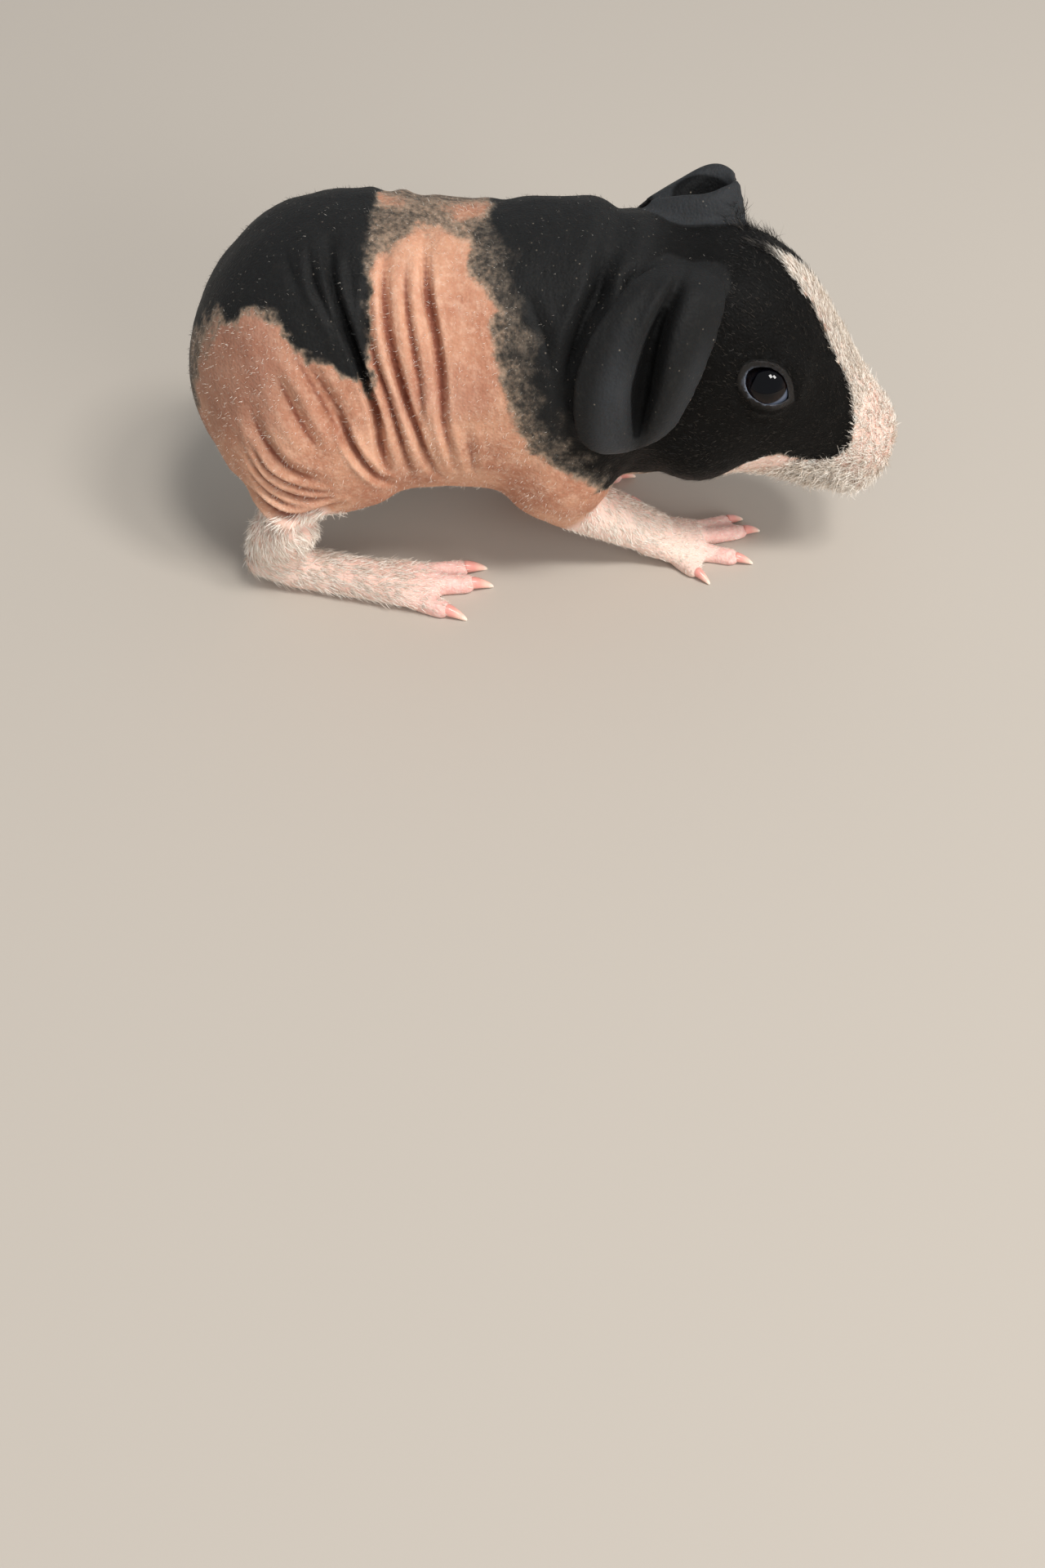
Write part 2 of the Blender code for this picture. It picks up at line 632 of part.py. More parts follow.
def flesh_nodes(body, forms):
    half = GAP / 2

    def front(plane, grow):
        return front_of("front_of_head" if plane is NECK_FRONT else "front_of_neck", *plane, grow, forms)

    legs = [(name, side) for side in (RIGHT, LEFT)
            for name in ("forefoot", "forearm", "upper_arm", "hind_foot", "shank", "thigh")]
    grown = {key: zone(*key, half, forms) for key in legs}
    shrunk = {key: zone(*key, -half, forms) for key in legs}
    colours = {"forefoot": PALE, "forearm": PEACH, "upper_arm": PEACH, "hind_foot": PALE, "shank": PALE,
               "thigh": PEACH}
    before = {"forearm": ("forefoot",), "upper_arm": ("forearm",), "shank": ("hind_foot",), "thigh": ("shank",)}
    for name, side in legs:
        steps = [("INTERSECT", shrunk[name, side])]
        steps += [("DIFFERENCE", grown[other, side]) for other in before.get(name, ())]
        if name == "upper_arm":
            steps.append(("DIFFERENCE", front(NECK_BACK, half)))
        node(f"{name}_{'right' if side == RIGHT else 'left'}", body, steps, colours[name])
    feet_out = [("DIFFERENCE", grown[name, side]) for name, side in legs]
    node("head", body, [("INTERSECT", front(NECK_FRONT, -half))]
         + [("DIFFERENCE", grown[n, s]) for n, s in legs if n in ("forearm", "forefoot")], DARK)
    node("neck", body, [("INTERSECT", front(NECK_BACK, -half)), ("DIFFERENCE", front(NECK_FRONT, half))]
         + [("DIFFERENCE", grown[n, s]) for n, s in legs if n in ("forearm", "forefoot")], DARK)
    node("torso", body, [("DIFFERENCE", front(NECK_BACK, half))] + feet_out, PEACH)


def sheet(name, grid, colour, clearance, wrap=False):
    """A thin curved sheet through a grid of points, thickened, and trimmed clear of the flesh."""
    mesh = bmesh.new()
    rows = [[mesh.verts.new(Vector(p) * MM) for p in row] for row in grid]
    for near, far in zip(rows, rows[1:]):
        for i in range(len(near) if wrap else len(near) - 1):
            j = (i + 1) % len(near)
            mesh.faces.new((near[i], near[j], far[j], far[i]))
    bmesh.ops.recalc_face_normals(mesh, faces=mesh.faces)
    made = bpy.data.meshes.new(name)
    mesh.to_mesh(made)
    mesh.free()
    ear = link(name, made, bpy.context.scene.collection)
    made.materials.append(material(f"{name}_surface", colour, 0.65))
    thick = ear.modifiers.new("thickness", "SOLIDIFY")
    thick.thickness = EAR_THICK * MM
    thick.offset = 0
    thick.use_even_offset = True
    boolean(ear, "DIFFERENCE", clearance)
    return ear


def ear_right(clearance):
    """Two lobes that hang from one root, with a deep slit between them where the cup of the ear is folded shut."""
    flat = [(k, *[c for p in row for c in p]) for k, row in enumerate(EAR_RIGHT)]
    last = len(EAR_RIGHT) - 1
    grid = []
    for i in range(13):
        v = i / 12
        row = row_at(flat, last * v)[1:]
        rear, slit, front = (np.array(row[k:k + 3]) for k in (0, 3, 6))
        out = np.array((0.05, -0.8 - 0.2 * v, 0.75 * (1 - v) ** 2 + 0.12))
        out /= np.linalg.norm(out)
        swell = math.sin(math.pi * min(1, 0.12 + v)) ** 0.6
        points = []
        for u in np.linspace(-1, 1, 15):
            edge = rear if u < 0 else front
            lobe = EAR_BULGE[0 if u < 0 else 1] * math.sin(math.pi * abs(u) ** 0.75) * swell
            groove = EAR_SLIT[1] * math.exp(-((u / EAR_SLIT[0]) ** 2)) * math.sin(math.pi * (0.1 + 0.85 * v)) ** 0.8
            points.append(slit + (edge - slit) * abs(u) + out * (lobe + 1.2 - groove * 0.8))
        grid.append(points)
    return sheet("ear_right", grid, DARK, clearance)


def ear_left(clearance):
    """A cup on the head: its inner wall is low, and its outer wall arches over and hangs down."""
    ahead, across, rise = (np.array(a) / np.linalg.norm(a) for a in EAR_LEFT_AXES)
    rows = []
    steps = 12
    for i in range(24):
        turn = 2 * math.pi * i / 24
        c, s = math.cos(turn), math.sin(turn)
        outer = max(0.0, s) ** 2 * (3 - 2 * max(0.0, s))
        inner, front, hang = EAR_LEFT_WALL
        long = inner + front * max(0.0, c) ** 1.5 * (1 - outer) + hang * outer
        place = np.array(EAR_LEFT_ROOT) + ahead * c * EAR_LEFT_OVAL[0] + across * s * EAR_LEFT_OVAL[1] - rise * 1.0
        column = []
        for k in range(steps):
            column.append(place.copy())
            done = long * k / (steps - 1)
            bend = np.clip((done - 3.6) / 8.5, 0, 1)
            bend = bend * bend * (3 - 2 * bend)
            aim = (rise + ahead * c * 0.16 + across * s * 0.3) * (1 - bend)
            aim += (np.array((-0.1, 0.3, -0.95)) + ahead * c * 0.42) * bend
            aim += np.array((0, 1.0, 0.1)) * math.sin(math.pi * bend) * 0.8
            place = place + aim / np.linalg.norm(aim) * long / (steps - 1)
        rows.append(column)
    grid = [[rows[i][k] for i in range(len(rows))] for k in range(steps)]
    return sheet("ear_left", grid, DARK, clearance, wrap=True)


def claw(name, tip, aim, size, clearance):
    """A small curved horn from the end of a toe: it bends down to the floor and ends in a blunt point."""
    rings = []
    long = 4.2 * size
    for k in range(5):
        t = k / 4
        drop = 0.9 * t * t * size
        centre = Vector(tip) + Vector(aim) * (long * t - 0.9) - Vector((0, 0, drop))
        thick = (0.95 - 0.62 * t**1.3) * size
        lift = Vector((0, 0, 1))
        across = Vector(aim).cross(lift)
        rings.append([
            (centre + across * math.cos(a) * thick * 0.8 + lift * math.sin(a) * thick) * MM
            for a in (2 * math.pi * j / 8 for j in range(8))])
    made = link(name, closed_mesh(name, rings), bpy.context.scene.collection)
    made.data.materials.append(material(f"{name}_surface", (214, 168, 150), 0.4))
    boolean(made, "DIFFERENCE", clearance)
    return made


def claws(clearance):
    for side in (RIGHT, LEFT):
        for name, base, tip, half, shift in feet(side):
            near = Vector(mirrored(base, side, shift))
            far = Vector(mirrored(tip, side, shift))
            aim = (far - near).normalized().to_3d()
            size = 1.0 if name.startswith("hind") else 0.8
            place = (far.x, far.y, half * 0.72 + 0.12)
            claw(f"claw_{name}_{'right' if side == RIGHT else 'left'}", place, aim, size, clearance)


def main():
    clear_scene()
    forms = bpy.data.collections.new("forms")
    trunk = bpy.data.collections.new("trunk_forms")
    for collection in (forms, trunk):
        bpy.context.scene.collection.children.link(collection)
    trunk_forms(trunk)
    base = fused([o.data for o in trunk.objects], "trunk_form", 0.8, 24, forms)
    limbs = bpy.data.collections.new("limb_forms")
    bpy.context.scene.collection.children.link(limbs)
    for side in (RIGHT, LEFT):
        leg_forms(side, limbs)
    skin = fused([base] + [o.data for o in limbs.objects], "whole_form", 0.5, 5, forms)
    fold_skin(skin)
    mesh, body = thinned(skin, forms)
    guide = link("grown_form", mesh, forms)
    swell = guide.modifiers.new("clear of the flesh", "DISPLACE")
    swell.strength, swell.mid_level = GAP * MM, 0
    hide(guide)
    face_details(body, forms)
    finished = evaluated(body, "body")
    hide(body)
    flesh_nodes(finished, forms)
    ear_right(guide)
    ear_left(guide)
    claws(guide)
    for side in (RIGHT, LEFT):
        eye = ellipsoid(f"eye_{'right' if side == RIGHT else 'left'}", (0, 0, 0), [EYE_RADIUS] * 3,
                        bpy.context.scene.collection, inside=eye_frame(side), around=20)
        eye.data.materials.append(material(f"{eye.name}_surface", (8, 8, 12), 0.05))
    for collection in (forms, trunk, limbs):
        for obj in collection.objects:
            hide(obj)
    for obj in bpy.data.objects:
        obj.data.transform(Matrix.Translation(Vector(CENTRE_SHIFT) * MM))


main()
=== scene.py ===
# %% [markdown]
# # A very young skinny pig, life size
# A skinny pig is a guinea pig with almost no hair. Its looks come from soft skin that hangs in folds,
# from patches of black and flesh colour, and from a little white hair on the muzzle and the feet.
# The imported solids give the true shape, parted into named nodes. This file lays one unbroken skin over
# them, presses the fine folds into it, paints the patches, and adds eyes, claws and hair.

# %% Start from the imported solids
import math

import bmesh
import bpy
import numpy as np
from mathutils import Matrix, Vector, noise
from mathutils.bvhtree import BVHTree
from mathutils.kdtree import KDTree


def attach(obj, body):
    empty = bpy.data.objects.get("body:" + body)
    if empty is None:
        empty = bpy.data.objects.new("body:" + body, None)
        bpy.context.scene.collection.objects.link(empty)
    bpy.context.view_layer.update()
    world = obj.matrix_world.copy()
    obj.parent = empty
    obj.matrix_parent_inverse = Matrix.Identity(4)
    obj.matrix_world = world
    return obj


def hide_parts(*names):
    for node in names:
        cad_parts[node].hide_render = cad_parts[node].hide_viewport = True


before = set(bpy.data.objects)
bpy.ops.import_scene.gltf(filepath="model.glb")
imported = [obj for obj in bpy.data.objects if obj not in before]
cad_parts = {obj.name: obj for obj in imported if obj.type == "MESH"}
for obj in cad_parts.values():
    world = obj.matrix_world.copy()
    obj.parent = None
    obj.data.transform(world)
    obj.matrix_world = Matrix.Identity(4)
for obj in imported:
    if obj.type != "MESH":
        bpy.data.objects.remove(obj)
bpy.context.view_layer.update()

MM = 0.001
RIGHT, LEFT = -1, 1
SIDES = {RIGHT: "right", LEFT: "left"}
# The sizes below are millimetres from a point under the chest, which lies here in the model.
SHIFT = np.array((-0.68, -1.36, 0.0))
FLESH = sorted(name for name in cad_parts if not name.startswith(("claw_", "eye_")))
print("nodes of flesh:", len(FLESH), "of", len(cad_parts))


# %% [markdown]
# ## Small helpers
# Blender's operators act on whatever is selected, and the solids come in selected, so every step starts
# by selecting just one piece. A modifier is applied at once, so that the next step sees its result.

# %% Helpers for selecting, modifiers and meshes
def activate(piece):
    bpy.ops.object.select_all(action="DESELECT")
    piece.select_set(True)
    bpy.context.view_layer.objects.active = piece


def active():
    return bpy.context.view_layer.objects.active


def edit_all(piece):
    """Opens one piece for editing, with all of it selected."""
    activate(piece)
    bpy.ops.object.mode_set(mode="EDIT")
    bpy.ops.mesh.select_all(action="SELECT")


def end_edit():
    bpy.ops.object.mode_set(mode="OBJECT")


def apply_modifier(piece, kind, **settings):
    activate(piece)
    modifier = piece.modifiers.new(kind.lower(), kind)
    for name, value in settings.items():
        setattr(modifier, name, value)
    bpy.ops.object.modifier_apply(modifier=modifier.name)


def smooth(piece, factor, iterations, weight=None, levels=10):
    """Smooths a piece. A weight on its points, 0 to 1, is taken in so many levels."""
    settings = {}
    if weight is not None:
        group = piece.vertex_groups.new(name="weight")
        for level in range(1, levels + 1):
            group.add(np.flatnonzero(np.round(weight * levels) == level).tolist(), level / levels, "REPLACE")
        settings["vertex_group"] = group.name
    apply_modifier(piece, "SMOOTH", factor=factor, iterations=iterations, **settings)
    piece.vertex_groups.clear()


def new_piece(name, mesh):
    piece = bpy.data.objects.new(name, mesh)
    bpy.context.scene.collection.objects.link(piece)
    return piece


def add_ball(radius, segments, rings):
    """A ball of a radius in millimetres, as the one selected piece."""
    bpy.ops.object.select_all(action="DESELECT")
    bpy.ops.mesh.primitive_uv_sphere_add(segments=segments, ring_count=rings, radius=radius * MM)
    return active()


def surface_tree(mesh):
    return BVHTree.FromPolygons([v.co for v in mesh.vertices], [tuple(p.vertices) for p in mesh.polygons])


def read_vectors(mesh, domain, field):
    flat = np.empty(len(getattr(mesh, domain)) * 3, np.float32)
    getattr(mesh, domain).foreach_get(field, flat)
    return flat.reshape(-1, 3).astype(float)


# %% Helpers for numbers
def unit(vectors):
    return vectors / np.maximum(np.linalg.norm(vectors, axis=1), 1e-9)[:, None]


def ramp(value, low, high):
    """0 below low, 1 above high, and smooth between."""
    t = np.clip((np.asarray(value, float) - low) / (high - low), 0, 1)
    return t * t * (3 - 2 * t)


def fall(value, low, high):
    """1 below low, 0 above high, and smooth between."""
    return 1 - ramp(value, low, high)


def bell(value, width):
    return np.exp(-(value / width) ** 2)


def curve(a, b, c, d, t):
    """The place t of the way from b to c, on a curve that passes through all four."""
    return 0.5 * (2 * b + (c - a) * t + (2 * a - 5 * b + 4 * c - d) * t**2 + (3 * b - a - 3 * c + d) * t**3)


def noise_at(points, scale, shift=(0, 0, 0)):
    return np.array([noise.noise(Vector(p) * scale + Vector(shift)) for p in points])


def span(points, centre, size=1.0):
    """How far points are from a centre, in shares of a size."""
    return np.linalg.norm((points - centre) / size, axis=1)


def spot(points, centre, size, low, high):
    """1 round a centre and 0 away from it. The edge lies between two shares of the size."""
    return fall(span(points, centre, size), low, high)


def hump(points, centre, size):
    """1 at a centre, falling off smoothly all round it."""
    return np.exp(-(((points - centre) / size) ** 2).sum(1))


def largest(*values):
    return np.maximum.reduce(values)


# %% [markdown]
# ## One skin
# A real animal has one skin with no seams, and the solids have gaps of 0.3 mm where they are parted.
# A copy of each node but the ears is swollen a little so that the copies touch. They are joined and
# remeshed into one closed surface, which is then drawn back to just inside the solids.

# %% Copy and swell the nodes of flesh
SWELL = 0.22 * MM
copies = []
for node_name in FLESH:
    if node_name.startswith("ear_"):
        continue
    copy = new_piece("copy_" + node_name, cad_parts[node_name].data.copy())
    edit_all(copy)
    bpy.ops.mesh.remove_doubles(threshold=0.000002)
    end_edit()
    apply_modifier(copy, "DISPLACE", strength=SWELL, mid_level=0)
    copies.append(copy)
print("copied:", len(copies), "nodes")

# %% [markdown]
# ## Where things are on the animal
# Every fold and patch is placed by numbers read off the animal: along the body, round it, or in the
# head's own frame, which leans down and turns a little to the right. These functions turn a point of the
# skin into such numbers.

# %% Frames of the head and of each eye
HEAD_ROOT, HEAD_PITCH, HEAD_YAW = (19.0, 0.0, 42.8), 27.0, -5.0
EYE_AT, EYE_LOOK, EYE_RADIUS = (14.8, 12.2, 7.4), (-0.1, 0.87, 0.47), 4.3
LID_THICK = 0.62
HEAD = (Matrix.Translation(HEAD_ROOT) @ Matrix.Rotation(math.radians(HEAD_YAW), 4, "Z")
        @ Matrix.Rotation(math.radians(HEAD_PITCH), 4, "Y"))


def eye_frame(side):
    """From an eye's own frame, with Z looking out, to the animal's frame, in millimetres."""
    look = Vector((EYE_LOOK[0], EYE_LOOK[1] * side, EYE_LOOK[2])).normalized()
    forward = (Vector((1, 0, 0)) - look * look.x).normalized()
    axes = Matrix((forward, look.cross(forward), look)).transposed().to_4x4()
    return HEAD @ Matrix.Translation((EYE_AT[0], EYE_AT[1] * side, EYE_AT[2])) @ axes


def eye_place(side):
    """The same frame in metres, where the pieces stand."""
    place = eye_frame(side).copy()
    place.translation = (place.translation + Vector(SHIFT)) * MM
    return place


def inside(matrix, points):
    """The points as seen in that frame."""
    turned = np.array(matrix.inverted())
    return points @ turned[:3, :3].T + turned[:3, 3]


def to_model(place):
    """A place on the animal, in millimetres, as a place in the model, in metres."""
    return Vector((np.array(place) + SHIFT) * MM)


def places(mesh):
    return read_vectors(mesh, "vertices", "co") / MM - SHIFT


def put_places(mesh, points):
    mesh.vertices.foreach_set("co", ((points + SHIFT) * MM).astype(np.float32).ravel())
    mesh.update()


# %% [markdown]
# ## Ears
# A young skinny pig's ears are thin soft sheets. The right one hangs in two lobes with a deep slit between
# them, where its cup is folded shut. The left one is an open cup on top, and its outer wall rolls over and
# hangs. Each is laid out as a grid of points along its edges, which gives the folds a smooth curve, and
# Solidify gives the sheet its thickness.

# %% The sheets of the ears
# Rows from root to tip of the right ear: its rear edge, the lip of its slit, and its front edge.
EAR_RIGHT = (
    ((18.9, -5.6, 58.7), (21.3, -6.4, 58.7), (26.3, -6.6, 57.8)),
    ((12.2, -12.4, 59.0), (19.8, -11.9, 58.4), (27.0, -11.0, 56.4)),
    ((6.8, -18.0, 54.6), (17.2, -16.8, 54.0), (25.9, -14.2, 52.6)),
    ((4.5, -20.6, 46.6), (15.8, -19.2, 46.8), (24.0, -16.8, 47.4)),
    ((5.3, -20.6, 38.4), (15.4, -19.2, 39.2), (21.4, -17.8, 40.6)),
    ((9.2, -19.8, 34.3), (14.4, -19.2, 34.9), (19.0, -18.0, 36.8)),
)
# Rows of the left ear, each from rear to front: its foot, the cup's near rim, bottom and far rim, then the
# outer wall down to its tip.
EAR_LEFT = (
    ((13.5, 7.5, 56.5), (19.5, 6.2, 57.0), (25.0, 5.8, 57.6), (29.0, 6.2, 56.6), (32.2, 7.6, 54.6)),
    ((16.0, 10.2, 58.4), (21.2, 9.2, 60.0), (25.2, 8.9, 60.8), (28.0, 9.8, 61.4), (30.4, 12.2, 60.2)),
    ((16.6, 12.0, 57.4), (21.8, 11.8, 57.4), (25.2, 12.0, 55.2), (27.2, 12.6, 56.8), (29.8, 13.6, 60.6)),
    ((16.4, 13.2, 57.2), (21.0, 14.2, 59.2), (25.2, 15.9, 60.8), (27.6, 16.2, 61.2), (29.8, 15.4, 60.3)),
    ((15.6, 15.5, 54.8), (19.8, 18.2, 56.2), (24.0, 19.4, 57.2), (27.6, 19.0, 56.8), (30.6, 17.0, 56.0)),
    ((13.2, 20.2, 49.0), (16.5, 22.0, 50.4), (20.0, 22.8, 51.0), (24.6, 22.2, 50.8), (28.8, 19.8, 50.2)),
    ((10.5, 22.6, 43.0), (13.4, 24.0, 43.4), (17.0, 24.4, 43.4), (21.6, 23.6, 43.6), (25.8, 21.4, 44.0)),
    ((10.8, 23.0, 38.2), (13.2, 23.8, 37.4), (16.2, 23.9, 37.2), (19.6, 23.2, 37.8), (22.6, 21.8, 39.2)),
    ((13.0, 22.4, 35.8), (14.6, 22.8, 35.4), (16.2, 22.8, 35.2), (17.8, 22.6, 35.4), (19.2, 22.0, 36.2)),
)
EAR_THICK = 0.85
RIGHT_GRID, LEFT_GRID = (33, 61), (49, 41)


def smooth_rows(rows, count):
    """More rows through a few, on a curve that passes through each."""
    rows = np.array(rows, float)
    ends = np.concatenate((2 * rows[:1] - rows[1:2], rows, 2 * rows[-1:] - rows[-2:-1]))
    made = []
    for at in np.linspace(0, len(rows) - 1, count):
        k = min(int(at), len(rows) - 2)
        made.append(curve(*ends[k:k + 4], at - k))
    return np.array(made)


def sheet_piece(name, grid):
    """A thin sheet through a grid of points, thickened and swollen as the copies of the nodes are."""
    rows, columns = grid.shape[:2]
    flat = (grid.reshape(-1, 3) + SHIFT) * MM
    faces = [(i * columns + j, i * columns + j + 1, (i + 1) * columns + j + 1, (i + 1) * columns + j)
             for i in range(rows - 1) for j in range(columns - 1)]
    mesh = bpy.data.meshes.new(name)
    mesh.from_pydata(flat.tolist(), [], faces)
    piece = new_piece(name, mesh)
    smooth(piece, 0.5, 3)
    apply_modifier(piece, "SOLIDIFY", thickness=EAR_THICK * MM + 2 * SWELL, offset=0, use_even_offset=False)
    return piece


grid, ear_slit, ear_light = [], [], []
for i, (rear, lip, front) in enumerate(smooth_rows(EAR_RIGHT, RIGHT_GRID[0])):
    v = i / (RIGHT_GRID[0] - 1)
    out = np.array((0.05, -0.8 - 0.2 * v, 0.75 * (1 - v) ** 2 + 0.12))
    out /= np.linalg.norm(out)
    # How far the lobes stand out along the row, and how deep and wide the slit between them is.
    swell = math.sin(math.pi * min(1, 0.02 + v)) ** 0.6
    proud = -1.6 + 3.0 * min(1, v / 0.22)
    deep = max(0.0, math.sin(math.pi * min(1, 0.06 + 1.1 * v))) ** 0.6
    wide = 0.11 + 0.24 * v - 0.75 * max(0, v - 0.6)
    crimp = 0.9 * math.sin(math.pi * min(1, v / 0.6))
    points = []
    for u in np.linspace(-1, 1, RIGHT_GRID[1]):
        edge = rear if u < 0 else front
        lobe = (2.5 if u < 0 else 1.9) * math.sin(math.pi * abs(u) ** 0.7) * swell
        groove = 4.6 * math.exp(-abs((u + 0.08) / wide) ** 4) * deep
        groove += crimp * math.exp(-((u + 0.5) / 0.1) ** 2)
        points.append(lip + (edge - lip) * abs(u) + out * (lobe + proud - groove))
    grid.append(points)
    # Painted shade: places down the slit, to be painted dark, and the half width of that dark.
    if 0.1 < v < 0.84:
        half = 0.6 + 2.0 * v - 6.0 * max(0, v - 0.6)
        ear_slit.append((lip + (rear - lip) * 0.08 + out * (0.6 - 4.0 * deep), half))
    # Painted light: the middle of each lobe, to be painted lighter, more so toward the tip.
    if v > 0.2:
        shine = min(1, (v - 0.2) / 0.35)
        ear_light += [(rear * 0.5 + lip * 0.5, shine), (front * 0.75 + lip * 0.25, 0.55 * shine)]
copies.append(sheet_piece("ear_sheet_right", np.array(grid)))
columns = smooth_rows(EAR_LEFT, LEFT_GRID[0]).transpose(1, 0, 2)
copies.append(sheet_piece("ear_sheet_left", smooth_rows(columns, LEFT_GRID[1]).transpose(1, 0, 2)))
ear_trees = [surface_tree(piece.data) for piece in copies[-2:]]
# The gristle at the root of the left ear fills the room below its cup.
gristle = add_ball(1.0, 32, 20)
gristle.location = to_model((26.2, 11.4, 51.8))
gristle.scale = (6.2, 5.0, 5.2)
bpy.ops.object.transform_apply(location=True, rotation=True, scale=True)
copies.append(gristle)
print("ears:", [len(piece.data.polygons) for piece in copies[-3:]], "faces")

# %% A ball round each eye, for the lids
for side in SIDES:
    ball = add_ball(EYE_RADIUS + LID_THICK + SWELL, 48, 32)
    ball.data.transform(eye_place(side))
    copies.append(ball)

# %% Join the copies, the ears and the balls
activate(copies[0])
for copy in copies:
    copy.select_set(True)
bpy.ops.object.join()
skin = active()
skin.name = "skin"
skin.data.name = "skin"
print("joined:", len(skin.data.vertices), "points")

# %% Remesh into one closed surface
VOXEL, SINK = 0.46 * MM, 0.05 * MM
apply_modifier(skin, "REMESH", mode="VOXEL", voxel_size=VOXEL, adaptivity=0)
activate(skin)
bpy.ops.mesh.separate(type="LOOSE")
shells = sorted(bpy.context.selected_objects, key=lambda piece: len(piece.data.vertices))
skin = shells.pop()
for scrap in shells:
    bpy.data.objects.remove(scrap)
skin.name = "skin"
apply_modifier(skin, "DISPLACE", strength=-SWELL - SINK, mid_level=0)
print("one skin:", len(skin.data.polygons) * 2, "triangles,", len(shells), "scraps dropped")


# %% [markdown]
# ## Softening
# The solids have few, flat faces. Flesh is soft, so the trunk is smoothed until no face shows, while the
# lids, lips, toes and the thin ears keep their form and are smoothed only a little.

# %% Smooth the trunk more than the face, feet and ears
# Two corners of the room that each ear takes up.
EAR_ROOMS = (((2, -28, 28), (30, -3, 62)), ((15, 4, 30), (38, 34, 72)))


def ear_nearness(points):
    """1 on the ears and 0 a little way off them."""
    found = np.zeros(len(points))
    for tree, (low, high) in zip(ear_trees, EAR_ROOMS):
        for i in np.flatnonzero(((points > low) & (points < high)).all(1)):
            away = tree.find_nearest(to_model(points[i]))[3]
            found[i] = max(found[i], fall(away / MM, 0.35, 1.3))
    return found


def spread(mesh, values, rounds):
    """Values of the points, evened out with those of their neighbours."""
    ends = np.empty(len(mesh.edges) * 2, np.int32)
    mesh.edges.foreach_get("vertices", ends)
    first, second = ends.reshape(-1, 2).T
    count = np.bincount(ends, minlength=len(values)) + 1.0
    for _ in range(rounds):
        values = (values + np.bincount(first, values[second], len(values))
                  + np.bincount(second, values[first], len(values))) / count
    return values


points = places(skin.data)
ears = ear_nearness(points)
soft = np.minimum(1 - 0.7 * ears, 1 - 0.65 * ramp(inside(HEAD, points)[:, 0], 31, 36))
for side in SIDES:
    soft = np.minimum(soft, ramp(span(inside(eye_frame(side), points), 0), 4.7, 7.0))
soft = np.minimum(soft, 0.12 + 0.88 * ramp(points[:, 2], 5.5, 11))
smooth(skin, 0.5, 30, soft, levels=20)
smooth(skin, 0.5, 3)
# The line of the back is evened out again, over the grooves of the solids.
x, y, z = places(skin.data).T
turn = np.degrees(np.arctan2(y, z - 38))
back = ramp(turn, -16, -4) * fall(turn, 62, 74)
back = back * ramp(x, -50, -40) * fall(x, 0, 8) * ramp(z, 38, 42)
smooth(skin, 0.5, 120, back)
# Smoothing shrinks what is round, so the skin is moved out again by what it lost, evened out.
now = places(skin.data)
normals = read_vectors(skin.data, "vertex_normals", "vector")
lost = spread(skin.data, ((points - now) * normals).sum(1), 24)
put_places(skin.data, now + normals * lost[:, None])
print("smoothed; share that is soft:", round(float(soft.mean()), 2))


# %% [markdown]
# ## Hind feet
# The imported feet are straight. A real hind foot turns its toes outward, is round at the heel, and is
# thickest in its middle, and the ankle is thin below the loose skin that hangs over it.

# %% Turn and round the hind feet, and thin the ankles
# Side, then the height and half height of the ankle's hollow, and its depth in front and behind.
ANKLES = ((RIGHT, 18.4, 4.2, 6.4, 2.4), (LEFT, 15.2, 6.5, 4.6, 1.6))
points = places(skin.data)
x, y, z = points.T
hind = x < -15
points[:, 1] -= np.sign(y) * 4.0 * fall(x, -49, -20) * fall(z, 5, 17) * hind
points[:, 2] += 1.6 * fall(x, -49.5, -42) * fall(z, 1.5, 9) * hind
points[:, 2] += z * 0.16 * fall(z, 8, 14) * ramp(x, -44, -36) * fall(x, -22, -17) * hind
for side, middle, tall, ahead, behind in ANKLES:
    here = y * side > 8
    points[:, 0] -= ahead * hump(points, (-34.4, 20.0 * side, middle), (5.0, 8.0, tall)) * here
    points[:, 0] += behind * hump(points, (-48.2, 20.0 * side, middle + 0.6), (4.5, 8.0, tall)) * here
put_places(skin.data, points)
smooth(skin, 0.3, 1)
print("hind feet shaped")


# %% [markdown]
# ## Folds
# Loose skin gathers in front of the haunch, behind the shoulder and round the ankle. Each fold is a line
# on the skin: the skin is pressed in along it, and rises in a low roll on both sides. The lines are drawn
# through a few points that are snapped to the skin, as a sculptor would draw them with one stroke each.

